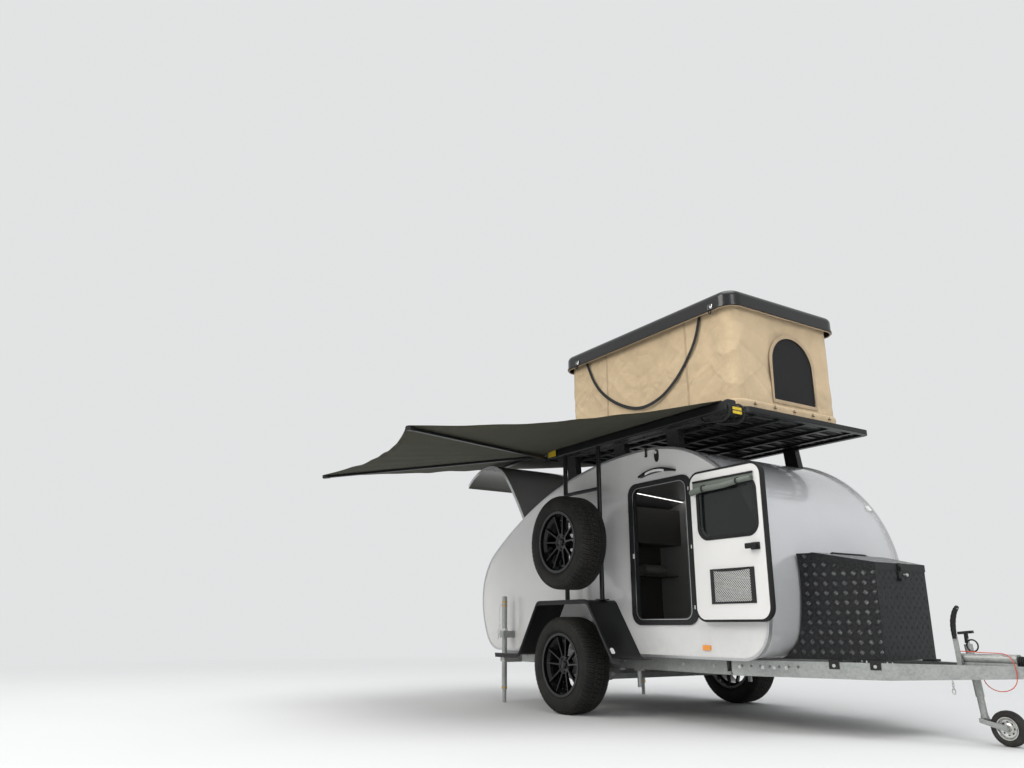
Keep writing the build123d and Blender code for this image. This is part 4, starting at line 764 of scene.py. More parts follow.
# Blocks of one pitch: start and end across the tread, middle and width around it, skew, zigzag, height.
# The other side has the same blocks, further round.
centreBlocks = [
    (-0.0175, 0.0175, -0.0085, 0.0135, 0.30, 0.0016, 0.0075),
    (-0.0175, 0.0175, 0.0062, 0.0125, 0.30, 0.0016, 0.0075),
]
sideBlocks = [
    (0.0220, 0.0500, -0.0040, 0.0150, -0.35, 0.0018, 0.0075),
    (0.0220, 0.0500, 0.0135, 0.0135, -0.35, 0.0018, 0.0075),
    (0.0550, 0.1260, -0.0020, 0.0150, 0.16, 0.0014, 0.0073),
    (0.0550, 0.1120, 0.0165, 0.0140, 0.16, 0.0014, 0.0073),
]
otherSideShift = 0.0190
otherSideBlocks = [
    (-start, -end, middle + otherSideShift, *rest) for start, end, middle, *rest in sideBlocks
]


# Where a distance across the tread lies on the casing: radius, along, and the way out from it
def onCasing(distance):
    left = abs(distance)
    for first, second in zip(casingOutside, casingOutside[1:]):
        run = Vector(second) - Vector(first)
        if left <= run.length or second[0] < tyreValues["sidewallFrom"]:
            radius, along = Vector(first) + run * left / run.length
            return radius, along, Vector((run.y, -run.x)).normalized()
        left -= run.length


def wrapBlocks(mesh, values):
    for vert in mesh.verts:
        around, across, height = vert.co
        radius, along, out = onCasing(across)
        thin = (abs(across) - values["thinFrom"]) / (values["thinTo"] - values["thinFrom"])
        if height > 0:
            height *= 1 - (1 - values["thinTop"]) * min(1, max(0, thin))
        radius += out.x * height
        along = math.copysign(along + out.y * height, across)
        turn = around / values["radius"]
        vert.co = (radius * math.sin(turn), along, radius * math.cos(turn))


def addTreadBlock(mesh, start, end, middle, width, skew, zigzag, height, values):
    rows = max(2, round(abs(end - start) / values["row"]))
    made = bmesh.ops.create_grid(mesh, x_segments=1, y_segments=rows, size=0.5)["verts"]
    for vert in made:
        share = vert.co.y + 0.5
        row = round(share * rows)
        across = start + (end - start) * share
        swing = zigzag * (1 if row % 2 else -1) if 0 < row < rows else 0
        around = middle + width * values["narrow"] * vert.co.x + skew * (across - (start + end) / 2) + swing
        vert.co = (around, across, -values["sunk"])
    base = list({face for vert in made for face in vert.link_faces})
    raised = bmesh.ops.extrude_face_region(mesh, geom=base)["geom"]
    top = {item for item in raised if isinstance(item, bmesh.types.BMFace)}
    lifted = [item for item in raised if isinstance(item, bmesh.types.BMVert)]
    bmesh.ops.translate(mesh, verts=lifted, vec=zAxis * (height + values["sunk"]))
    rim = [edge for face in top for edge in face.edges if sum(f in top for f in edge.link_faces) == 1]
    bmesh.ops.bevel(
        mesh, geom=rim, offset=values["bevel"], affect="EDGES", segments=1, profile=0.5, material=-1
    )


def makeTyreMesh(values):
    mesh = bmesh.new()
    for block in centreBlocks + sideBlocks + otherSideBlocks:
        addTreadBlock(mesh, *block, values)
    wrapBlocks(mesh, values)
    bmesh.ops.spin(
        mesh,
        geom=list(mesh.verts) + list(mesh.edges) + list(mesh.faces),
        cent=(0, 0, 0),
        axis=yAxis,
        angle=math.tau - math.tau / values["pitches"],
        steps=values["pitches"] - 1,
        use_duplicate=True,
    )
    for face in mesh.faces:
        face.material_index = 1
    addLathe(mesh, bothSides(casingOutside[1:] + casingInside), (0, 0, 0), yAxis, steps=120)
    for face in mesh.faces:
        nearest = min(math.hypot(vert.co.x, vert.co.z) for vert in face.verts)
        # Casing faces out at the tread, between the blocks, take the darker groove rubber as painted shade
        if face.material_index == 0 and nearest > values["grooveFrom"]:
            face.material_index = 2
    return mesh


wheelKeys = ("tyre", "nuts", "node", "body", "centre")
wheels = [
    dict(zip(wheelKeys, wheel)) for wheel in (
        ("tyreRight", "wheelRightNuts", "tyre_right", "wheel_right", (0, -0.952, 0.3675)),
        ("tyreLeft", "wheelLeftNuts", "tyre_left", "wheel_left", (0, 0.952, 0.3675)),
        ("spareTyre", "spareWheelNuts", "spare_tyre", "trailer", (0.198, -1.1095, 1.304)),
    )
]


def makeTyres(values):
    pattern = makeTyreMesh(values)
    looks = "tyreRubber treadRubber grooveRubber"
    for wheel in wheels:
        tyre = pattern.copy()
        bmesh.ops.translate(tyre, verts=tyre.verts, vec=spot(*wheel["centre"]))
        finishPiece(wheel["tyre"], tyre, looks, "tyre_rubber", wheel["body"], [wheel["node"]], sharp=32)
    pattern.free()


makeTyres(tyreValues)
print("tyres made")


# Roof tent: cloth walls around a ring, drawn in between their seams and creased from the corners

tentValues = dict(
    rear=-0.412, front=1.597, half=0.590, corner=0.100, foot=2.2303, top=3.0617, columns=620, rows=66,
    drawnIn=0.016, crease=0.012, ruck=0.0028, folded=0.17, anchor=(0, 0, 1.8003), windowArea=0.245,
    wallThick=0.0012, seamThick=0.0016, offsets=(-0.034, 0.004), held=0.40,
)
tentSeams = [0.137, 1.120]
tentMiddle = (tentValues["rear"] + tentValues["front"]) / 2
tentHalfLong = (tentValues["front"] - tentValues["rear"]) / 2
tentHigh = tentValues["top"] - tentValues["foot"]


# Points at even distances round a ring, and its length
def resampled(ring, count):
    closed = [Vector(point) for point in ring + ring[:1]]
    lengths = [0.0]
    for first, second in zip(closed, closed[1:]):
        lengths.append(lengths[-1] + (second - first).length)
    points = []
    segment = 0
    for index in range(count):
        target = lengths[-1] * index / count
        while lengths[segment + 1] < target:
            segment += 1
        share = (target - lengths[segment]) / max(1e-9, lengths[segment + 1] - lengths[segment])
        points.append(closed[segment].lerp(closed[segment + 1], share))
    return points, lengths[-1]


def outwards(ring, index):
    along = ring[(index + 1) % len(ring)] - ring[(index - 1) % len(ring)]
    return Vector((along.y, -along.x)).normalized()


tentRing, tentRound = resampled(
    roundedRing(tentHalfLong, tentValues["half"], tentValues["corner"], 16), tentValues["columns"]
)


# How far a point of the ring is from the nearest corner or side seam
def fromHeld(point):
    if abs(abs(point.y) - tentValues["half"]) < 0.02:
        held = [tentValues["rear"], tentValues["front"]] + tentSeams
        return min(abs(point.x + tentMiddle - one) for one in held)
    return tentValues["half"] - abs(point.y)


# Noise over the wall, with one scale along both level directions and another up the wall
def wallNoise(point, share, level, rising):
    return noise.noise(Vector((point.x * level, point.y * level, share * rising)))


def tentPoint(index, share, lift=0.0):
    values = tentValues
    index %= len(tentRing)
    point = tentRing[index]
    slack = math.sin(math.pi * share)
    slanted = noise.noise(Vector((point.x * 3.4 + share * 2.2, point.y * 3.4 - share * 1.9, 4.0)))
    crossed = noise.noise(Vector((point.x * 3.9 - share * 2.6, point.y * 3.9 + share * 2.1, 9.0)))
    ridged = (1 - abs(slanted) * 2.2) ** 3 if abs(slanted) < 0.45 else 0
    ridged -= (1 - abs(crossed) * 2.2) ** 3 if abs(crossed) < 0.45 else 0
    offset = -values["drawnIn"] * slack * min(1.0, fromHeld(point) / values["held"])
    folds = 0.6 * wallNoise(point, share, 2.6, 1.5) + 0.45 * ridged
    offset += values["crease"] * folds * (0.25 + 0.75 * slack)
    edge = max(0.0, abs(2 * share - 1) - 0.55) / 0.45
    gather = noise.noise(Vector((point.x * 22, point.y * 22, 2.0)))
    offset += values["ruck"] * (gather * edge * 2.0 + wallNoise(point, share, 13, 9))
    inmost, outmost = values["offsets"]
    offset = max(inmost, min(outmost, offset))
    place = point + outwards(tentRing, index) * (offset + lift)
    return spot(place.x + tentMiddle, place.y, values["foot"] + tentHigh * share)


# The window in the front wall: straight sides under a low arch
windowValues = dict(middle=0.07, half=0.24, sill=2.32, spring=2.62, top=2.85, steps=20)


def windowOutline(grow):
    values = windowValues
    half, low, spring = values["half"] + grow, values["sill"] - grow, values["spring"]
    arch = [math.pi * step / values["steps"] for step in range(1, values["steps"])]
    points = [(half, low), (half, spring)]
    points += [(half * math.cos(a), spring + (values["top"] + grow - spring) * math.sin(a)) for a in arch]
    points += [(-half, spring), (-half, low)]
    return [(across + values["middle"], high) for across, high in points]


def inWindow(place):
    values = windowValues
    across, high = place.y - values["middle"], place.z + hitchHeight
    if place.x + hitchReach < tentValues["front"] - 0.06 or high < values["sill"]:
        return False
    if abs(across) > values["half"]:
        return False
    arch = (values["top"] - values["spring"]) * math.sqrt(1 - (across / values["half"]) ** 2)
    return high < values["spring"] + arch


def makeTentWalls(values):
    mesh = bmesh.new()
    columns, rows = range(values["columns"]), values["rows"]
    addGrid(mesh, [[tentPoint(c, r / rows) for c in columns] for r in range(rows + 1)], closed=True)
    opened = [face for face in mesh.faces if inWindow(face.calc_center_median())]
    bmesh.ops.delete(mesh, geom=opened, context="FACES")
    walls = finishPiece("tentWalls", mesh, "tentCloth", "tent_canvas", replacing=["tent_walls"], sharp=180)
    addThickness(walls, values["wallThick"])
    return walls


# Strips that follow the walls: seams, hems and the window's edging
def addWallStrip(mesh, startColumn, columns, shares, lift):
    addGrid(mesh, [[tentPoint(startColumn + c, share, lift) for c in range(columns + 1)] for share in shares])


def columnAt(x, side):
    found = [i for i, point in enumerate(tentRing) if point.y * side > tentValues["half"] - 0.02]
    return min(found, key=lambda i: abs(tentRing[i].x + tentMiddle - x))


def makeTentSeams(values):
    mesh = bmesh.new()
    upright = [row / 60 for row in range(61)]
    for side in (-1, 1):
        for station in tentSeams:
            addWallStrip(mesh, columnAt(station, side) - 1, 2, upright, 0.0018)
    addWallStrip(mesh, 0, values["columns"], [0.0, 0.004, 0.010, 0.016, 0.020], 0.0022)
    addWallStrip(mesh, 0, values["columns"], [0.974, 0.980, 0.986, 0.991, 0.995], 0.0016)
    seams = finishPiece("tentSeams", mesh, "tentSeam", "tent_canvas", sharp=180)
    addThickness(seams, values["seamThick"])
    return seams


def makeTentWindow():
    mesh = bmesh.new()
    origin = spot(tentValues["front"] - 0.006, 0, 0)
    addPlate(mesh, windowOutline(0.006), origin, yAxis, zAxis, 0.0012)
    net = finishPiece("tentWindowNet", mesh, "blackNet", "tent_mesh", replacing=["tent_window"])
    mesh = bmesh.new()
    path = [origin + Vector((0.010, across, high)) for across, high in windowOutline(0.012)]
    section = [(-0.016, -0.001), (0.016, -0.001), (0.016, 0.002), (0, 0.0035), (-0.016, 0.002)]
    addSweep(mesh, path, section, up=xAxis, closed=True)
    return net, finishPiece("tentWindowHem", mesh, "tentSeam", "tent_canvas")


def squashWithLid(piece):
    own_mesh(piece)


def makeTent(values):
    walls = makeTentWalls(values)
    trims = [makeTentSeams(values), *makeTentWindow()]
    for piece in (walls, *trims):
        squashWithLid(piece)


makeTent(tentValues)
print("tent walls made")


# Strap that hangs below the tent's lid, along its side

strapValues = dict(width=0.028, thick=0.0022, y=-0.6035)
strapRoute = [
    (-0.160, 3.0507), (-0.040, 2.800), (0.110, 2.630), (0.330, 2.490), (0.560, 2.415),
    (0.790, 2.440), (0.980, 2.540), (1.130, 2.680), (1.240, 2.840), (1.310, 3.0507),
]


def makeStrap(values):
    mesh = bmesh.new()
    path = smoothPath([spot(x, values["y"], z) for x, z in strapRoute], 10)
    addSweep(mesh, path, boxSection(values["thick"], values["width"]))
    strap = finishPiece("tentStrap", mesh, "webbing", "strap_web", replacing=["tent_strap"])
    squashWithLid(strap)


makeStrap(strapValues)
print("strap made")


# Awning: one cloth over four arms, scalloped between them

awningValues = dict(
    hub=(-0.420, -0.868, 0), inner=0.060, reach=2.120, lift=0.016, hollow=0.1, sag=0.022, thick=0.0012,
    ripple=0.010, columns=26, rows=44, leastShare=0.301,
)
# Each arm's direction in degrees, and its heights at root and tip; the first line is the case
awningArms = [
    (0, 2.1603, 2.1603), (-62, 2.118, 1.960), (-132, 2.142, 2.005), (-199, 2.178, 2.385),
    (-262, 2.204, 2.340),
]


def onArm(arm, reach, values):
    direction, root, tip = arm
    angle = math.radians(direction)
    height = root + (tip - root) * reach / values["reach"] + values["lift"]
    return Vector(values["hub"]) + Vector((math.cos(angle) * reach, math.sin(angle) * reach, height))


def awningPoint(first, second, share, out, values, lift=0.0):
    hub = Vector(values["hub"])
    nearA, nearB = [onArm(arm, values["inner"], values) for arm in (first, second)]
    farA, farB = [onArm(arm, values["reach"], values) for arm in (first, second)]
    near = nearA.lerp(nearB, share)
    far = farA.lerp(farB, share)
    far += (near - farA.lerp(farB, 0.5)) * values["hollow"] * 4 * share * (1 - share)
    place = near.lerp(far, out)
    bearing = math.degrees(math.atan2(place.y - hub.y, place.x - hub.x))
    ripple = noise.noise(Vector((place.x * 2.2, place.y * 2.2, 1.0))) * values["ripple"]
    fan = noise.noise(Vector((bearing * 0.14, out * 1.2, 6.0))) * values["ripple"]
    slack = math.sin(math.pi * share)
    place.z += -values["sag"] * slack ** 1.2 * out + (ripple + fan) * slack * out + lift
    return spot(*place)


# The section of a hem, its underside deeper than its top
def hemSection(half, under):
    return [(-half, -under), (half, -under), (half, 0.0015), (-half, 0.0015)]


def makeAwning(values):
    mesh = bmesh.new()
    columns, rows = values["columns"], values["rows"]
    panels = list(zip(awningArms, awningArms[1:]))
    stations = [(*panel, column / columns) for panel in panels for column in range(columns)]
    stations.append((*panels[-1], 1.0))
    outs = [row / rows for row in range(rows + 1)]
    addGrid(mesh, [[awningPoint(*station, out, values) for out in outs] for station in stations])
    area = sum(face.calc_area() for face in mesh.faces)
    looks = ("awningCloth", "awning_cloth")
    cloth = finishPiece("awningCanvas", mesh, *looks, replacing=["awning_canvas"], sharp=180)
    addThickness(cloth, values["thick"])
    mesh = bmesh.new()
    for panel in panels:
        path = [awningPoint(*panel, step / 40, 1.0, values, 0.001) for step in range(41)]
        addSweep(mesh, path, hemSection(0.011, 0.0025))
    for arm in awningArms[1:-1]:
        path = [awningPoint(arm, arm, 0, step / 30, values, 0.0012) for step in range(31)]
        addSweep(mesh, path, hemSection(0.013, 0.0015))
    hem = finishPiece("awningHem", mesh, *looks)


makeAwning(awningValues)
print("awning made")


# Tool box: chequer bars pressed out of the sheet, in threes that turn from group to group

boxValues = dict(
    front=2.332, frontHalf=0.272, slope=0.357, low=0.458, topFront=1.054, topSlope=0.216, stripZ=1.134,
    rear=1.70, tall=0.70, latchY=-0.02, lockY=0.045,
)
chequerValues = dict(
    pitch=0.061, bar=0.027, wide=0.0030, high=0.0012, apart=0.0088, start=0.016, margin=0.0015,
    reach=0.06, flat=0.0006,
)


# One bar along Z on a base in XZ, kept as a mesh because joining it is quick
def makeBarPattern(values, material):
    pattern = bmesh.new()
    size = (values["wide"] / 2, values["high"], values["bar"] / 2)
    bmesh.ops.create_uvsphere(pattern, u_segments=8, v_segments=4, radius=1, matrix=placed((0, 0, 0), size))
    for face in pattern.faces:
        face.material_index = material
    data = bpy.data.meshes.new("barPattern")
    pattern.to_mesh(data)
    pattern.free()
    return data


# The bars with a painted glint in bright metal, and those that stay as black as the sheet
barPatterns = [makeBarPattern(chequerValues, material) for material in (0, 1)]


def addBar(mesh, node, cover, centre, along, out, values, pattern):
    reach = values["bar"] / 2 + values["margin"]
    seats = []
    for step in (-1, 0, 1):
        start = centre + along * reach * step + out * values["reach"] / 2
        place, facing = touch(node, start, -out, values["reach"])
        if place is None or facing.dot(out) < 0.985:
            return
        if cover and touch(cover, start, -out, values["reach"])[0] is not None:
            return
        seats.append(place)
    heights = [(seat - seats[1]).dot(out) for seat in seats]
    if max(heights) - min(heights) > values["flat"]:
        return
    turn = placed(seats[1], turn=Matrix((along.cross(out), out, -along)).transposed())
    pattern.transform(turn)
    mesh.from_mesh(pattern)
    pattern.transform(turn.inverted())


def addChequer(mesh, node, cover, values, glintingLeans, origin, across, up, wide, high):
    across, up = Vector(across).normalized(), Vector(up).normalized()
    out = across.cross(up).normalized()
    pitch, start = values["pitch"], values["start"]
    for row in range(int(2 * high / pitch) + 1):
        lean = 1 if row % 2 else -1
        # Bars of a lean in the list get the bright metal, a painted glint; the others stay black
        pattern = barPatterns[0 if lean in glintingLeans else 1]
        along = (across * lean + up).normalized()
        beside = out.cross(along) * values["apart"]
        for column in range(int(wide / pitch) + 1):
            shift = start + (column + 0.5 * (row % 2)) * pitch
            middle = origin + across * shift + up * (start + row * pitch / 2)
            for step in (-1, 0, 1):
                addBar(mesh, node, cover, middle + beside * step, along, out, values, pattern)


def makeChequer(values):
    front, low, half, slope = values["front"], values["low"], values["frontHalf"], values["slope"]
    rear, tall = values["rear"], values["tall"]
    long = front - rear
    rearHalf = half + long * slope
    top, strip = [spot(front, -rearHalf, values[height]) for height in ("topFront", "stripZ")]
    # Which way the bars with a painted glint lean, then where the sheet starts, its two directions and its
    # size
    sides = {
        "right": ((1,), spot(rear, -rearHalf, low), (1, slope, 0), zAxis, long + 0.05, tall),
        "left": ((-1,), spot(front, half, low), (-1, slope, 0), zAxis, long + 0.05, tall),
        "front": ((), spot(front, -half, low), yAxis, zAxis, 2 * half, tall),
        "top": ((1, -1), top, yAxis, (-1, 0, values["topSlope"]), 2 * rearHalf, long),
        "strip": ((1, -1), strip, yAxis, -xAxis, 2 * rearHalf, long),
    }
    for name, node, cover, body, parts in (
        ("boxChequer", "tool_box", "tool_box_lid", "trailer", sides),
        ("boxLidChequer", "tool_box_lid", None, "tool_box_lid", ("top", "strip")),
    ):
        mesh = bmesh.new()
        for part in parts:
            addChequer(mesh, node, cover, chequerValues, *sides[part])
        finishPiece(name, mesh, "chequerBar chequer", "chequer_plate", body, sharp=180)


def makeBoxFittings(values):
    latch = spot(values["front"], values["latchY"], values["topFront"])
    lock = spot(values["front"], values["lockY"], values["topFront"] - 0.068)

    def latchBlock(ahead, down, size, bevel, segments=2):
        addBlock(mesh, latch + Vector((ahead, 0, -down)), size, bevel=bevel, segments=segments)

    mesh = bmesh.new()
    latchBlock(0.008, 0.019, (0.007, 0.040, 0.050), 0.0025)
    latchBlock(0.016, 0.030, (0.014, 0.020, 0.034), 0.004, 3)
    finishPiece("boxHasp", mesh, "plasticBlack", "black_plastic", "tool_box_lid")
    mesh = bmesh.new()
    latchBlock(0.004, 0.080, (0.008, 0.036, 0.060), 0.003)
    latchBlock(0.012, 0.100, (0.014, 0.022, 0.020), 0.004)
    addRod(mesh, lock - xAxis * 0.001, lock + xAxis * 0.016, 0.012, 0.0105, 24, 1)
    addRod(mesh, lock + xAxis * 0.012, lock + xAxis * 0.021, 0.007, 0.006, 20, 1)
    addBlock(mesh, lock + Vector((0.012, -0.023, 0.002)), (0.006, 0.030, 0.008), bevel=0.002, material=1)
    finishPiece("boxKeeper", mesh, "plasticBlack chrome", "black_plastic")


makeChequer(boxValues)
makeBoxFittings(boxValues)
print("tool box dressed")


# Doors. Places on a door are (away from its hinge, height, out from its inner face)

doorValues = dict(
    half=(0.3325, 0.5175), corner=0.092, middleZ=1.210, thick=0.034,
    windowZ=1.435, windowShift=0.010, window=(0.262, 0.187), windowCorner=0.080,
)
doors = [
    dict(name="doorRight", body="door_right", middle=1.610, turn=1, inner=-0.8135),
    dict(name="doorLeft", body="door_left", middle=0.890, turn=-1, inner=0.7585),
]
latchValues = dict(innerZ=1.168, outerAway=0.250, outerZ=1.172, plateZ=1.178, lockZ=1.196)
pocketValues = dict(
    middle=(0.0205, 0.9225), half=(0.1945, 0.1155), side=0.050, bottom=0.018, top=0.012, bulge=0.020,
    columns=36, rows=24, gather=1.02, thick=0.001,
)
blindValues = {
    "from": -0.285, "to": 0.268, "railZ": 1.655, "turns": 2.6, "outer": (0.024, 0.018), "inner": 0.006,
    "rollZ": (1.580, 1.612), "columns": 30, "rows": 66, "drop": 8, "thick": 0.0009, "straps": (0.22, 0.78),
}


def onDoor(door, away, height, out):
    return spot(door["middle"] + door["turn"] * away, door["inner"] - out, height)


def doorRing(door, shift, height, half, corner, out, steps):
    return [onDoor(door, shift + a, height + b, out) for a, b in roundedRing(*half, corner, steps)]


def makeDoorTrim(door, values):
    mesh = bmesh.new()
    thick, deep, flip = values["thick"], values["thick"] / 2, door["turn"]
    edge = doorRing(door, 0, values["middleZ"], values["half"], values["corner"], -deep, 14)
    section = [
        (-0.013 * flip, -deep - 0.0020), (0.0015 * flip, -deep - 0.0020), (0.0034 * flip, -deep + 0.004),
        (0.0034 * flip, deep - 0.004), (0.0015 * flip, deep + 0.0012), (-0.013 * flip, deep + 0.0012),
    ]
    addSweep(mesh, edge, section, up=-yAxis, closed=True)
    window = (values["windowShift"], values["windowZ"], values["window"], values["windowCorner"])
    for out, high in ((0.0, 0.008), (-thick, -0.006)):
        foot = math.copysign(0.002, -high)
        rubber = [
            (-0.013, foot), (0.013, foot), (0.011, high * 0.7), (0.006, high), (-0.009, high),
            (-0.013, high * 0.6),
        ]
        addSweep(mesh, doorRing(door, *window, out, 12), rubber, up=-yAxis, closed=True)
    finishPiece(door["name"] + "Trim", mesh, "rubber", "black_rubber", door["body"], sharp=30)


def makeDoorHandles(door, values):
    mesh = bmesh.new()
    thick, away, low = -doorValues["thick"], values["outerAway"], values["innerZ"]
    for shift, out, size, bevel, segments in (
        (0.243, 0.006, (0.072, 0.014, 0.048), 0.005, 2),
        (0.246, 0.022, (0.040, 0.026, 0.034), 0.006, 3),
        (0.226, 0.042, (0.076, 0.016, 0.036), 0.006, 3),
    ):
        addBlock(mesh, onDoor(door, shift, low, out), size, bevel=bevel, segments=segments)
    addRod(mesh, onDoor(door, 0.246, low, 0.048), onDoor(door, 0.246, low, 0.0535), 0.010, 0.008, 20)
    plate = [(a * door["turn"], b) for a, b in roundedRing(0.055, 0.030, 0.012, 5)]
    addPlate(mesh, plate, onDoor(door, away, values["plateZ"], thick), xAxis, zAxis, -0.005)
    rising = [(-0.040, 0.003), (-0.034, 0.013), (-0.020, 0.017)]
    grip = [onDoor(door, away + a, values["outerZ"], thick - d) for a, d in rising]
    grip += [onDoor(door, away - a, values["outerZ"], thick - d) for a, d in reversed(rising)]
    addSweep(mesh, grip, boxSection(0.016, 0.006))
    lock = onDoor(door, away, values["lockZ"], thick)
    addRod(mesh, lock, lock + yAxis * 0.009, 0.007, material=1)
    finishPiece(door["name"] + "Latch", mesh, "plasticBlack chrome", "black_plastic", door["body"])


def makePocket(door, values):
    mesh = bmesh.new()
    (shift, height), (halfWide, halfHigh) = values["middle"], values["half"]
    side, bottom, top = values["side"], values["bottom"], values["top"]
    back = (2 * halfWide, 0.0020, 2 * halfHigh)
    addBlock(mesh, onDoor(door, shift, height, 0.0010), back, bevel=0.0008, segments=1)
    for sign in (-1, 1):
        place = onDoor(door, shift + sign * (halfWide - side / 2), height, 0.0035)
        addBlock(mesh, place, (side, 0.0045, 2 * halfHigh), bevel=0.0018)
    place = onDoor(door, shift, height - halfHigh + bottom / 2, 0.0038)
    addBlock(mesh, place, (2 * halfWide, 0.0050, bottom), bevel=0.0018)
    columns, rows = values["columns"], values["rows"]
    netHalf = halfWide - side * 0.72
    low, high = height - halfHigh + bottom * 0.7, height + halfHigh - top * 0.4

    def netPoint(a, b):
        sway = math.sin(math.pi * a) ** 0.8
        out = 0.006 + values["bulge"] * sway * (0.35 + 0.65 * b) * min(1, 4 * b)
        climb = low + (high - low) * b - 0.010 * sway * b * b
        return onDoor(door, shift - netHalf + 2 * netHalf * a, climb, out)

    hem = [netPoint(step / columns, 1.0) for step in range(columns + 1)]
    addSweep(mesh, hem, [(-0.0015, -0.008), (0.0015, -0.008), (0.0015, 0.006), (-0.0015, 0.006)])
    border = finishPiece(door["name"] + "PocketHem", mesh, "webbing", "bedding", door["body"])
    mesh = bmesh.new()
    addGrid(mesh, [[netPoint(c / columns, r / rows) for c in range(columns + 1)] for r in range(rows + 1)])
    area = sum(face.calc_area() for face in mesh.faces)
    net = finishPiece(door["name"] + "Pocket", mesh, "pocketNet", "bedding", door["body"], sharp=180)
    addThickness(net, values["thick"])


def makeBlind(door, values):
    start, end = values["from"], values["to"]
    wide, railZ = end - start, values["railZ"]

    # The roll at a share of the window's width: its radius, its height, and how far out its middle is
    def rollAt(share):
        outer = values["outer"][0] + (values["outer"][1] - values["outer"][0]) * share
        height = values["rollZ"][0] + (values["rollZ"][1] - values["rollZ"][0]) * share ** 0.7
        return outer, height + 0.004 * math.sin(share * 9), outer + 0.004

    def blindPoint(share, row):
        outer, height, out = rollAt(share)
        away = start + wide * share
        drop = row / values["drop"]
        if drop < 1:
            high = railZ - 0.004 + (height - railZ + 0.004) * drop
            hung = 0.006 + (out - outer - 0.006) * drop + 0.004 * math.sin(math.pi * drop)
            return onDoor(door, away, high, hung)
        turned = (row - values["drop"]) / (values["rows"] - values["drop"])
        angle = math.pi + math.tau * values["turns"] * turned
        radius = outer + (values["inner"] - outer) * turned
        radius *= 1 + 0.05 * noise.noise(Vector((share * 7, math.cos(angle) * 1.5, math.sin(angle) * 1.5)))
        return onDoor(door, away, height + radius * math.sin(angle), out + radius * math.cos(angle))

    mesh = bmesh.new()
    addBlock(mesh, onDoor(door, (start + end) / 2, railZ, 0.0075), (wide, 0.013, 0.014), bevel=0.003)
    rail = finishPiece(door["name"] + "BlindRail", mesh, "plasticBlack", "black_plastic", door["body"])
    mesh = bmesh.new()
    shares = [column / values["columns"] for column in range(values["columns"] + 1)]
    addGrid(mesh, [[blindPoint(share, row) for share in shares] for row in range(values["rows"] + 1)])
    area = sum(face.calc_area() for face in mesh.faces)
    blind = finishPiece(door["name"] + "Blind", mesh, "blindCloth", "bedding", door["body"], sharp=180)
    addThickness(blind, values["thick"])
    mesh = bmesh.new()
    for share in values["straps"]:
        outer, height, out = rollAt(share)
        radius = outer + 0.003
        loop = loopOf(onDoor(door, start + wide * share, height, out), -yAxis * radius, zAxis * radius, 24)
        addSweep(mesh, loop, boxSection(0.0016, 0.014), up=xAxis, closed=True)
    straps = finishPiece(door["name"] + "BlindStraps", mesh, "webbing", "bedding", door["body"])


for door in doors:
    makeDoorTrim(door, doorValues)
    makeDoorHandles(door, latchValues)
    makePocket(door, pocketValues)
    makeBlind(door, blindValues)
print("doors dressed")


# Door frames, side lamps and sockets, the same on both sides

sideValues = dict(
    door=(0.890, 1.210), ring=(0.293, 0.499, 0.062), ringY=0.7566, catch=(0.586, 1.187),
    arch=(0.885, 1.803), archHalf=0.105, archRise=0.014, socketZ=1.964, strapX=0.770,
)


def makeSideFittings(values):
    black, shine, lens = bmesh.new(), bmesh.new(), bmesh.new()
    (doorX, doorZ), (archX, archZ), half = values["door"], values["arch"], values["archHalf"]
    (catchX, catchZ), socketZ, strapX = values["catch"], values["socketZ"], values["strapX"]
    for side in (-1, 1):
        out = yAxis * side
        outline = roundedRing(*values["ring"], 10)
        ring = [spot(doorX + a, side * values["ringY"], doorZ + b) for a, b in outline]
        addSweep(shine, ring, boxSection(0.005, 0.0017), up=out, closed=True)
        catch = spot(catchX, side * 0.7568, catchZ)
        addBlock(lens, catch, (0.022, 0.0014, 0.036), bevel=0.0005, segments=1, material=1)
        shares = [step / 8 - 1 for step in range(17)]
        rises = [values["archRise"] * (1 - s * s) for s in shares]
        arch = [spot(archX + half * s, side * 0.7795, archZ + rise) for s, rise in zip(shares, rises)]
        section = [(-0.009, -0.002), (0.009, -0.002), (0.007, 0.004), (-0.007, 0.004)]
        addSweep(lens, arch, [(a, b * side) for a, b in section], up=out)
        rim = [(0.0135, -0.001), (0.0135, 0.003), (0.011, 0.005), (0.009, 0.003), (0.009, -0.001)]
        addLathe(shine, rim, spot(doorX, side * 0.7585, socketZ), out, 32)
        socket = [spot(doorX, side * y, socketZ) for y in (0.757, 0.762)]
        addRod(lens, *socket, 0.0088, 0.0075, 24, 1)
        strap = [spot(strapX, side * y, z) for y, z in ((0.7505, 1.945), (0.7510, 1.985), (0.7530, 2.020))]
        addSweep(black, strap, boxSection(0.022, 0.003), up=out)
        addBlock(black, spot(strapX, side * 0.7520, 1.952), (0.028, 0.006, 0.014), bevel=0.002)
    finishPiece("frameShine", shine, "edgeMetal", "edge_metal")
    finishPiece("sideLenses", lens, "lampClear doorSkin", "lamp_plastic")
    finishPiece("sideStraps", black, "webbing", "strap_web")


makeSideFittings(sideValues)

# Lenses over the tail lamps, the side markers and the reflectors on the mudguards: the tail
# lamps' colours run outwards, and a reflector has its station, height, tilt, colour and size
lensValues = dict(
    tail=(-0.9962, 0.837, 0.390), tailStep=0.063, tailColours=(1, 0, 2), marker=(1.298, 1.0, 0.520),
    reflectors=(
        (0.589, 0.484, (-0.56, 0, 0.83), 3, (0.017, 0.024)),
        (-0.560, 0.520, (0.56, 0, 0.83), 1, (0.010, 0.030)),
    ),
)


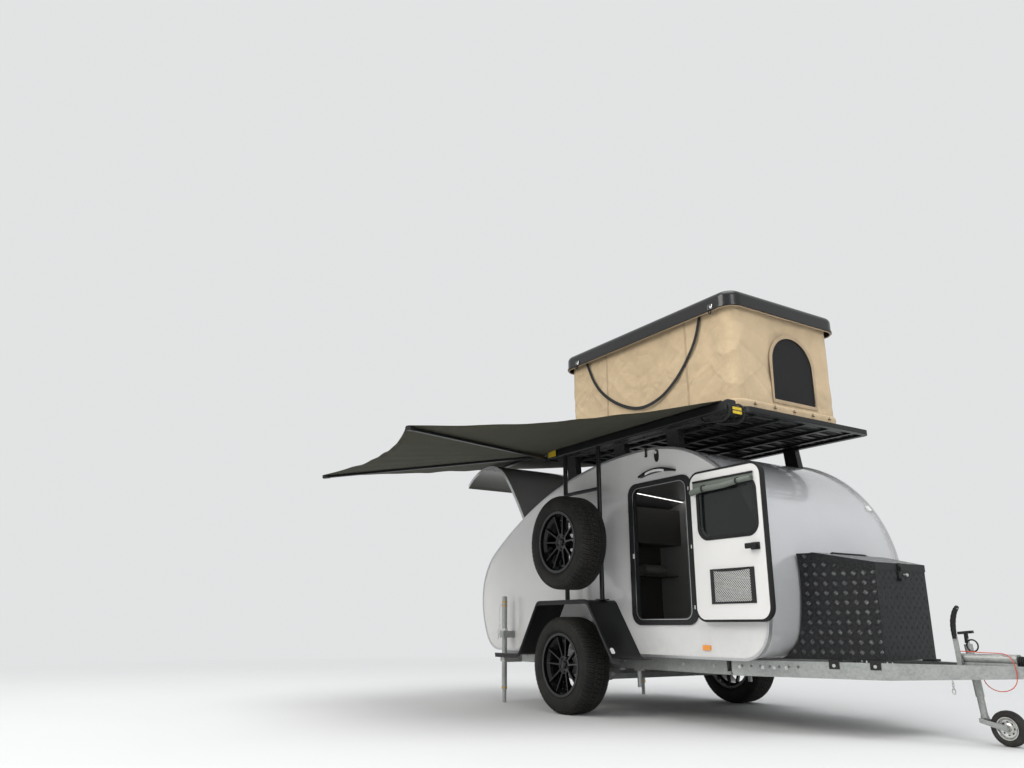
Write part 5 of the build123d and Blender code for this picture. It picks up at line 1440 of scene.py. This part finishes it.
def makeLenses(values):
    mesh = bmesh.new()
    tailX, tailY, tailZ = values["tail"]
    markerX, markerY, markerZ = values["marker"]
    for side in (-1, 1):
        for index, colour in enumerate(values["tailColours"]):
            middle = spot(tailX, side * (tailY + values["tailStep"] * index), tailZ)
            addPlate(mesh, roundedRing(0.0275, 0.029, 0.006, 5), middle, -yAxis, zAxis, 0.0045, colour)
            for row in range(5):
                place = middle + Vector((-0.0050, 0, -0.020 + 0.010 * row))
                addBlock(mesh, place, (0.0016, 0.048, 0.0035), bevel=0.0007, segments=1, material=colour)
        place, out = touch("lamps", spot(markerX, side * markerY, markerZ), yAxis * -side)
        addPlate(mesh, roundedRing(0.034, 0.017, 0.006, 5), place, xAxis * -side, zAxis, 0.003, 0)
        for x, z, along, colour, size in values["reflectors"]:
            away = Vector((math.copysign(1, x), 0, 0.6)).normalized()
            place, out = touch("mudguards", spot(x, side * 1.008, z) + away * 0.10, -away)
            across = Vector(along).cross(out).normalized()
            addPlate(mesh, roundedRing(*size, min(size) * 0.8, 6), place, across, along, 0.005, colour)
    finishPiece("lensCovers", mesh, "lampAmber lampRed lampClear lampClear", "lamp_plastic")


makeLenses(lensValues)
print("lamps dressed")


# Wheels: nuts, a domed cap and a valve on each rim

rimValues = dict(boltCircle=0.052, bolts=5, firstBolt=126, seat=0.067, cap=0.030, capSeat=0.072)


def spoke(angle):
    return Vector((math.cos(angle), 0, math.sin(angle)))


def makeWheelFittings(wheel, values):
    mesh = bmesh.new()
    middle, out = spot(*wheel["centre"]), yAxis * math.copysign(1, wheel["centre"][1])
    for angle in angles(values["bolts"]):
        bolt = spoke(angle + math.radians(values["firstBolt"])) * values["boltCircle"]
        place = middle + bolt + out * (values["seat"] - 0.008)
        addRod(mesh, place, place + out * 0.016, 0.0095, 0.009, 6)
        addRod(mesh, place + out * 0.015, place + out * 0.021, 0.0078, 0.004, 16)
    cap, seat = values["cap"], values["capSeat"]
    dome = [
        (0.0008, seat - 0.004), (cap, seat - 0.004), (cap, seat + 0.002), (cap * 0.93, seat + 0.005),
        (cap * 0.86, seat + 0.0035), (cap * 0.5, seat + 0.0065), (0.0008, seat + 0.0075),
    ]
    addLathe(mesh, dome, middle, out, 40)
    valve = middle + Vector((0.150, 0, 0.128)) + out * 0.050
    addRod(mesh, valve, valve + out * 0.034 - Vector((0.010, 0, 0.008)), 0.0042, 0.0036, 12, 1)
    finishPiece(wheel["nuts"], mesh, "rimBlack plasticBlack", "rim_black", wheel["body"])


for wheel in wheels:
    makeWheelFittings(wheel, rimValues)

# Jockey wheel: a solid tyre on a pressed rim with eight holes, shown as black discs of painted shade

jockeyValues = dict(centre=(2.835, 0.070, 0.098), holes=8, holeCircle=0.0375, holeFace=0.0098, hole=0.0060)
jockeyTyre = [
    (0.060, 0.020), (0.066, 0.024), (0.082, 0.0275), (0.092, 0.025), (0.0965, 0.018), (0.098, 0.008),
    (0.0965, 0.006), (0.098, 0.004),
]
jockeyRim = [
    (0.011, 0.0275), (0.018, 0.0275), (0.020, 0.012), (0.030, 0.009), (0.040, 0.011), (0.048, 0.012),
    (0.054, 0.018), (0.0585, 0.0225), (0.0625, 0.0225), (0.0625, 0.018),
]


def makeJockeyWheel(values):
    mesh = bmesh.new()
    centre = spot(*values["centre"])
    addLathe(mesh, bothSides(jockeyTyre), centre, yAxis, 72)
    addLathe(mesh, bothSides(jockeyRim), centre, yAxis, 72, material=1)
    for out in (-yAxis, yAxis):
        for angle in angles(values["holes"]):
            place = centre + spoke(angle) * values["holeCircle"] + out * values["holeFace"]
            # Each hole is a thin black disc on the face: painted shade in place of an opening
            addRod(mesh, place, place + out * 0.0012, values["hole"], sides=14, material=2)
    looks = "rubber zincPale plasticBlack"
    finishPiece("jockeyWheel", mesh, looks, "black_rubber", "jockey_wheel", ["jockey_wheel"], sharp=28)


makeJockeyWheel(jockeyValues)


# Hitch: ribbed bellows, the jockey's handle and loop, the brake lever's grip, and rows of bolts

bellowsValues = dict(start=2.990, end=3.100, z=0.466, ribs=9, swell=0.0335, taper=0.0006, bore=0.020)
ringValues = dict(place=(2.715, 0.030, 0.552), radius=0.034, wire=0.0045)
leverValues = dict(
    y=-0.051, shaft=((2.668, 0.442), (2.665, 0.521), (2.660, 0.605)), pivot=(2.665, 0.521), grip=0.0135,
    swell=0.0028, curve=((2.660, 0.592), (2.658, 0.640), (2.663, 0.695), (2.679, 0.745), (2.697, 0.772)),
    knob=0.0138,
)
# Bolts on both sides: the node, the distance out where the line starts, the height, the stations, the size
boltRows = [
    ("drawbar_legs", 1.0, 0.402, (1.500, 1.572, 1.644, 1.716, 1.788, 1.860), 0.010),
    ("box_brackets", 1.0, 0.424, (2.070, 2.298), 0.009),
    ("side_members", 1.2, 0.400, (-1.10, -0.85, -0.42, 0.30, 0.95, 1.25), 0.008),
]


def makeBellows(values):
    mesh = bmesh.new()
    long = values["end"] - values["start"]
    outline = [(values["bore"], 0.0)]
    for index in range(values["ribs"]):
        along = long * (index + 0.1) / values["ribs"]
        swell = values["swell"] - values["taper"] * index
        neck = swell - 0.007
        outline += [(neck, along), (swell, along + 0.004), (swell, along + 0.0065), (neck, along + 0.0105)]
    outline.append((values["bore"], long))
    addLathe(mesh, outline, spot(values["start"], 0, values["z"]), xAxis, 40)
    finishPiece("ribbedBellows", mesh, "rubber", "black_rubber", replacing=["bellows"], sharp=25)


def makeJockeyRing(values):
    mesh = bmesh.new()
    addRod(mesh, spot(2.664, 0.070, 0.566), spot(2.6625, 0.070, 0.632), 0.0135, 0.0115, 20)
    loop = loopOf(spot(*values["place"]), xAxis * values["radius"], zAxis * values["radius"], 40)
    addSweep(mesh, loop, roundSection(values["wire"]), up=yAxis, closed=True)
    finishPiece("jockeyRing", mesh, "plasticBlack", "black_plastic")


def makeLever(values):
    mesh = bmesh.new()
    shaft = smoothPath([spot(x, values["y"], z) for x, z in values["shaft"]], 6)
    addSweep(mesh, shaft, boxSection(0.030, 0.008), up=yAxis)
    pivotX, pivotZ = values["pivot"]
    addRod(mesh, spot(pivotX, -0.0475, pivotZ), spot(pivotX, -0.0400, pivotZ), 0.010, 0.008, 20)
    grip = smoothPath([spot(x, values["y"], z) for x, z in values["curve"]], 6)
    shares = [index / (len(grip) - 1) for index in range(len(grip))]
    swells = [values["grip"] + values["swell"] * math.sin(math.pi * share) for share in shares]
    for index, (first, second) in enumerate(zip(grip, grip[1:])):
        ridge = 0.94 if index % 3 == 1 else 1.0
        addRod(mesh, first, second, swells[index] * ridge, swells[index + 1] * ridge, 20, 1)
    top = Matrix.Translation(grip[-1])
    bmesh.ops.create_uvsphere(mesh, u_segments=20, v_segments=10, radius=values["knob"], matrix=top)
    for face in mesh.faces:
        if face.calc_center_median().z > grip[-2].z:
            face.material_index = 1
    finishPiece("brakeLever", mesh, "zinc plasticBlack", "galvanised", replacing=["brake_lever"], sharp=50)


def makeChassisBolts():
    mesh = bmesh.new()
    for side in (-1, 1):
        for node, away, height, stations, size in boltRows:
            for x in stations:
                addBoltOn(mesh, node, spot(x, side * away, height), yAxis * -side, size)
    for x in (2.69, 2.80, 2.93):
        addBoltOn(mesh, "overrun_housing", spot(x, -0.35, 0.425), yAxis, 0.008)
    finishPiece("chassisBolts", mesh, "zincPale", "galvanised")


makeBellows(bellowsValues)
makeJockeyRing(ringValues)
makeLever(leverValues)
makeChassisBolts()

# Steadies: brass bands, a clamp screw with its bar, and the pin rod beside each tube
steadyValues = dict(
    x=-1.170, y=0.838, bands=(0.880, 0.846, 0.126), collarZ=0.628, screw=(-1.198, 0.852, 0.590),
    pinRod=(
        (-0.002, 0.016, 0.010), (-0.004, 0.020, 0.090), (-0.006, 0.020, 0.230), (-0.004, 0.010, 0.262),
        (0.004, 0, 0.262),
    ),
)


def makeSteadyFittings(values):
    rods = bmesh.new()
    band = [(0.0235, -0.006), (0.0262, -0.006), (0.0262, 0.006), (0.0235, 0.006)]
    collar = [(0.0245, -0.012), (0.030, -0.012), (0.031, 0), (0.030, 0.012), (0.0245, 0.012)]
    screwX, screwY, screwZ = values["screw"]
    for name, side in (("Right", -1), ("Left", 1)):
        bands = bmesh.new()
        for height in values["bands"]:
            addLathe(bands, band, spot(values["x"], side * values["y"], height), zAxis, 32)
        finishPiece("steadyBands" + name, bands, "brass", "galvanised", "steady_" + name.lower())
        start = spot(screwX, side * screwY, screwZ)
        addRod(rods, start, start + Vector((-0.050, side * 0.012, 0)), 0.0065, sides=14)
        bar = start + Vector((-0.046, side * 0.011, 0))
        addRod(rods, bar - zAxis * 0.045, bar + zAxis * 0.045, 0.0045, sides=12)
        rod = smoothPath([start + Vector((x, side * y, z)) for x, y, z in values["pinRod"]], 5)
        addSweep(rods, rod, roundSection(0.0035, 8), up=yAxis)
        addLathe(rods, collar, spot(values["x"], side * values["y"], values["collarZ"]), zAxis, 32)
    finishPiece("steadyRods", rods, "zincPale", "galvanised")


makeSteadyFittings(steadyValues)
print("running gear dressed")


# Roof tent: a hem over the base with toggles, and the lid's piping and latches

hemValues = dict(out=0.010, corner=0.104, columns=300, toggleZ=2.238, toggleFront=1.6155, toggleSide=0.6085)
frontToggles = (-0.42, -0.20, 0.02, 0.24, 0.44)
sideToggles = (-0.24, 0.06, 0.36, 0.66, 0.96, 1.26)
pipingValues = dict(out=0.040, corner=0.118, columns=560, z=2.9885, scallop=0.0035, scallops=8, radius=0.0046)
lidLatchX = (1.448, -0.230)


def makeTentHem(values):
    mesh = bmesh.new()
    half = (tentHalfLong + values["out"], tentValues["half"] + values["out"])
    ring, _ = resampled(roundedRing(*half, values["corner"], 14), values["columns"])
    middle = spot(tentMiddle, 0, 0)
    rows = []
    for index, point in enumerate(ring):
        puff = 0.0025 * noise.noise(Vector((point.x * 9, point.y * 9, 3.0)))
        sag = 0.004 * noise.noise(Vector((point.x * 5, point.y * 5, 8.0)))
        outline = [
            (-0.012, 2.268), (-0.002, 2.272), (0.004 + puff, 2.262), (0.0065 + puff, 2.245), (0.0035, 2.228),
            (0.0060 + puff, 2.214 + sag), (0.0015, 2.206 + sag), (-0.0035, 2.212), (-0.0035, 2.246),
            (-0.012, 2.252),
        ]
        out = outwards(ring, index)
        rows.append([middle + Vector((*(point + out * away), height)) for away, height in outline])
    addGrid(mesh, rows, closed=True, joined=True)
    finishPiece("tentHem", mesh, "tentCloth", "tent_canvas", sharp=180)


def makeToggles(values):
    mesh = bmesh.new()
    toggles = [(values["toggleFront"], y, yAxis, xAxis) for y in frontToggles]
    for side in (-1, 1):
        toggles += [(x, side * values["toggleSide"], xAxis, yAxis * side) for x in sideToggles]
    for x, y, along, out in toggles:
        place = spot(x, y, values["toggleZ"])
        ends = [place + along * half + out * 0.004 for half in (-0.014, 0.014)]
        addRod(mesh, *ends, 0.0042, 0.0042, 12)
        loop = loopOf(place + out * 0.003 + zAxis * 0.008, along * 0.005, zAxis * 0.012, 14)
        addSweep(mesh, loop, roundSection(0.0014, 6), up=out, closed=True)
    finishPiece("tentToggles", mesh, "toggleBrown", "strap_web")


def makeLidFittings(values):
    mesh = bmesh.new()
    half = (tentHalfLong + values["out"], tentValues["half"] + values["out"])
    path, _ = resampled(roundedRing(*half, values["corner"], 14), values["columns"])
    waves = [abs(math.sin(index * math.pi / values["scallops"])) for index in range(len(path))]
    drops = [values["z"] - values["scallop"] * wave for wave in waves]
    wavy = [spot(tentMiddle + point.x, point.y, z) for point, z in zip(path, drops)]
    addSweep(mesh, wavy, roundSection(values["radius"], 8), closed=True)
    finishPiece("lidPiping", mesh, "tentSeam", "tent_canvas", "tent_lid", sharp=180)
    mesh = bmesh.new()
    for side in (-1, 1):
        for x in lidLatchX:
            addBlock(mesh, spot(x, side * 0.6445, 3.016), (0.046, 0.006, 0.038), bevel=0.002, material=1)
            addBlock(mesh, spot(x, side * 0.6490, 3.008), (0.026, 0.008, 0.026), bevel=0.003, material=1)
            loop = loopOf(spot(x, side * 0.6485, 2.980), xAxis * 0.012, zAxis * 0.024, 20)
            addSweep(mesh, loop, boxSection(0.0025, 0.010), up=yAxis, closed=True)
    finishPiece("lidLatches", mesh, "webbing chrome", "edge_metal", "tent_lid")


makeTentHem(hemValues)
makeToggles(hemValues)
makeLidFittings(pipingValues)

# Roof rack and awning: hoops, cross bars and bolts, blank plates, and a marker on the front
rackValues = dict(
    hoopY=(-0.868, -0.722), bend=(1.700, 2.103), bendRadius=(0.066, 0.067), tieX=1.766,
    barX=0.690, barStep=0.132, bars=15, barHalf=0.690, barZ=2.1365,
    boltStart=-0.30, boltStep=0.245, bolts=9, boltY=0.710, boltZ=2.131,
    housing=(-0.305, -0.8855, 2.150), rearPlate=(-0.305, -0.8925, 2.150), frontPlate=(1.768, -0.795, 2.103),
    marker=(3.0, 0.690, 1.535),
)


def makeRack(values):
    mesh = bmesh.new()
    (bendX, bendZ), (wide, high) = values["bend"], values["bendRadius"]
    for y in values["hoopY"]:
        hoop = [spot(1.600, y, 2.170), spot(1.690, y, 2.170)]
        bend = [math.pi * step / 14 for step in range(1, 14)]
        hoop += [spot(bendX + wide * math.sin(a), y, bendZ + high * math.cos(a)) for a in bend]
        hoop += [spot(x, y, z) for x, z in ((1.690, 2.036), (1.600, 2.046), (1.520, 2.066), (1.500, 2.100))]
        addSweep(mesh, smoothPath(hoop, 3), roundSection(0.0075), up=yAxis)
    addBlock(mesh, spot(*values["housing"]), (0.132, 0.013, 0.098), bevel=0.005)
    tie = [spot(values["tieX"], y, bendZ) for y in values["hoopY"]]
    addRod(mesh, *tie, 0.006, sides=12)
    for index in range(values["bars"]):
        x = values["barX"] + values["barStep"] * (index - values["bars"] // 2)
        bar = [spot(x, side * values["barHalf"], values["barZ"]) for side in (-1, 1)]
        addRod(mesh, *bar, 0.0075, sides=10)
    for side in (-1, 1):
        for index in range(values["bolts"]):
            x = values["boltStart"] + values["boltStep"] * index
            addBolt(mesh, spot(x, side * values["boltY"], values["boltZ"]), yAxis * side, 0.007)
    finishPiece("roofHoops", mesh, "blackMetal", "black_metal")


def makePlates(values):
    mesh = bmesh.new()
    addPlate(mesh, roundedRing(0.044, 0.024, 0.004, 4), spot(*values["frontPlate"]), yAxis, zAxis, 0.0025)
    addPlate(mesh, roundedRing(0.056, 0.038, 0.005, 4), spot(*values["rearPlate"]), xAxis, zAxis, 0.0025)
    finishPiece("blankPlates", mesh, "plateYellow", "lamp_plastic")
    mesh = bmesh.new()
    place, out = touch("roof_skin", spot(*values["marker"]), -xAxis)
    addBlock(mesh, place + out * 0.010, (0.050, 0.036, 0.024), seated(out, zAxis), bevel=0.007, segments=3)
    finishPiece("frontMarker", mesh, "lampClear", "lamp_plastic")


makeRack(rackValues)
makePlates(rackValues)
print("roof dressed")


# Bedding: a tufted mattress with piping and two rolled blankets

mattressValues = dict(
    cuts=30, tufts=(7, 5), swell=0.0045, soft=0.10, high=0.955, piping=0.005, pipingZ=(-0.88, 0.88)
)
rollValues = dict(long=0.290, steps=26, around=48, full=0.985, fold=0.014, flap=0.035, flapAt=5.6)


def makeMattress(values):
    low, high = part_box("mattress")
    middle, half = (low + high) / 2, (high - low) / 2
    mesh = bmesh.new()
    bmesh.ops.create_cube(mesh, size=2)
    bmesh.ops.subdivide_edges(mesh, edges=mesh.edges, cuts=values["cuts"], use_grid_fill=True)
    tuftsX, tuftsY = values["tufts"]
    for vert in mesh.verts:
        x, y, z = vert.co
        edge = max(abs(x), abs(y))
        tuft = math.cos(x * math.pi * tuftsX) * math.cos(y * math.pi * tuftsY)
        swell = values["swell"] * tuft if abs(z) > 0.98 and edge < 0.95 else 0
        soft = 1 - values["soft"] * max(0, edge - 0.93) / 0.07
        rise = half.z * z * soft * values["high"] + math.copysign(swell, z)
        vert.co = middle + Vector((half.x * x, half.y * y, rise))
    allAxes = dict(use_axis_x=True, use_axis_y=True, use_axis_z=True)
    for level in range(2):
        bmesh.ops.smooth_vert(mesh, verts=mesh.verts, factor=0.5, **allAxes)
    bed = finishPiece("mattressPad", mesh, "bedCloth", "bedding", replacing=["mattress"], sharp=180)
    mesh = bmesh.new()
    for z in values["pipingZ"]:
        ring = roundedRing(half.x - 0.002, half.y - 0.002, 0.02, 4)
        path = [middle + Vector((a, b, half.z * z * 0.95)) for a, b in ring]
        addSweep(mesh, path, roundSection(values["piping"], 8), closed=True)
    finishPiece("mattressPiping", mesh, "tentSeam", "bedding")


def makeRolls(values):
    mesh = bmesh.new()
    low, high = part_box("blankets")
    middle, half = (low + high) / 2, (high - low) / 2 * values["full"]

    def rollPoint(share, angle, start):
        fold = 1 - values["flap"] * max(0, 1 - abs(angle - values["flapAt"]) / 0.16)
        across = Vector((math.cos(angle) * 2, math.sin(angle) * 2, share * 6 + start * 5))
        fold += values["fold"] * noise.noise(across)
        fold *= min(1.0, 8 * min(share, 1 - share) + 0.62) ** 0.35
        return Vector((
            middle.x + half.x * fold * math.cos(angle),
            start + values["long"] * share,
            middle.z + half.z * fold * math.sin(angle),
        ))

    for start in (low.y, high.y - values["long"]):
        shares = [step / values["steps"] for step in range(values["steps"] + 1)]
        rings = [[rollPoint(share, angle, start) for angle in angles(values["around"])] for share in shares]
        grid = addGrid(mesh, rings, closed=True)
        for ring in (grid[0], grid[-1]):
            face = mesh.faces.new(ring)
            for thickness, depth in ((0.018, -0.004), (0.014, -0.006)):
                bmesh.ops.inset_region(mesh, faces=[face], thickness=thickness, depth=depth)
    rolls = finishPiece("blanketRolls", mesh, "bedCloth", "bedding", replacing=["blankets"], sharp=60)


makeMattress(mattressValues)
makeRolls(rollValues)

# Cabin lamp: a lit strip under the ceiling, across the front of the locker
cabinLampEnds = ((-0.226, -0.110), (-0.331, 0.706))


def makeCabinLamp():
    mesh = bmesh.new()
    ends = [touch("roof_skin", spot(x, y, 1.5), zAxis)[0] for x, y in cabinLampEnds]
    low = zAxis * -0.004
    addSweep(mesh, [end + low for end in ends], boxSection(0.026, 0.010))
    addSweep(mesh, [end + low * 2.2 for end in ends], boxSection(0.016, 0.006), material=1)
    finishPiece("cabinLamp", mesh, "edgeMetal cabinGlow", "lamp_plastic")


makeCabinLamp()
print("cabin dressed")

# Galley and tailgate: pulls on the drawers and a handle on the gate

galleyValues = dict(pullY=-0.45, pullZ=(0.800, 0.600), pullWide=0.17, handleX=-1.98)


def makeGalleyFittings(values):
    mesh = bmesh.new()
    half = values["pullWide"] / 2
    for z in values["pullZ"]:
        place, out = touch("galley", spot(-2.5, values["pullY"], z), xAxis)
        if place is None:
            continue
        rising = [(-half, 0.001), (-half, 0.016), (-half + 0.012, 0.024)]
        grip = rising + [(-across, step) for across, step in reversed(rising)]
        path = smoothPath([place + Vector((-step, across, 0)) for across, step in grip], 4)
        addSweep(mesh, path, roundSection(0.0045))
        for across in (-half, half):
            foot = place + yAxis * across
            addRod(mesh, foot + xAxis * 0.001, foot - xAxis * 0.003, 0.009, 0.008, 20)
    finishPiece("galleyPulls", mesh, "edgeMetal", "edge_metal")


def makeTailgateHandle(values):
    mesh = bmesh.new()
    place, out = touch("tailgate", spot(values["handleX"], 0.0, 2.9), -zAxis)
    turn = seated(out, yAxis)
    addBlock(mesh, place + out * 0.004, (0.120, 0.034, 0.009), turn, bevel=0.003)
    for across in (-0.042, 0.042):
        addBlock(mesh, place + turn @ Vector((across, 0, 0.014)), (0.012, 0.016, 0.020), turn, bevel=0.003)
    addBlock(mesh, place + out * 0.025, (0.104, 0.018, 0.009), turn, bevel=0.004, segments=3)
    finishPiece("tailgateHandle", mesh, "plasticBlack", "black_plastic", "tailgate")


makeGalleyFittings(galleyValues)
makeTailgateHandle(galleyValues)

# A short chain with a shackle, which is its last and larger link, under the drawbar's tip
chainValues = dict(
    links=3, top=(2.619, -0.070, 0.352), long=0.020, wide=0.011, wire=0.0022, shackle=(1.5, 1.7, 1.4)
)


def makeChain(values):
    mesh = bmesh.new()
    top = spot(*values["top"])
    addRod(mesh, top + zAxis * 0.012, top - zAxis * 0.004, 0.005, 0.004, 14)
    for index in range(values["links"] + 1):
        longer, wider, thicker = values["shackle"] if index == values["links"] else (1, 1, 1)
        long, wide, wire = values["long"] * longer, values["wide"] * wider, values["wire"] * thicker
        drop = 0.010 + index * (values["long"] - 2 * values["wire"]) + (long - values["long"]) / 2
        across, beside = (xAxis, -yAxis) if index % 2 else (yAxis, xAxis)
        ring = roundedRing(wide / 2, long / 2, wide * 0.49, 6)
        path = [top - zAxis * drop + across * a + zAxis * b for a, b in ring]
        addSweep(mesh, path, roundSection(wire, 8), up=beside, closed=True)
    finishPiece("drawbarChain", mesh, "zincPale", "galvanised")


makeChain(chainValues)

# Rolled lips along the mudguards' outer edges, round their corners
guardPath = [
    (-0.995, 0.425), (-0.625, 0.425), (-0.335, 0.855), (0.335, 0.855), (0.625, 0.425), (0.728, 0.425),
]
guardValues = dict(y=1.0445, under=0.004, corner=0.045, steps=6, radius=0.0062)


def makeGuardLips(values):
    mesh = bmesh.new()
    for side in (-1, 1):
        corners = [spot(x, side * values["y"], z - values["under"]) for x, z in guardPath]
        path = [corners[0]]
        for before, corner, after in zip(corners, corners[1:], corners[2:]):
            first, second = [(end - corner).normalized() * values["corner"] for end in (before, after)]
            for share in (step / values["steps"] for step in range(values["steps"] + 1)):
                path.append(corner + first * (1 - share) ** 2 + second * share ** 2)
        path.append(corners[-1])
        addSweep(mesh, path, roundSection(values["radius"]), up=yAxis)
    finishPiece("guardLips", mesh, "blackMetal", "black_metal")


makeGuardLips(guardValues)
print("galley and guards dressed")
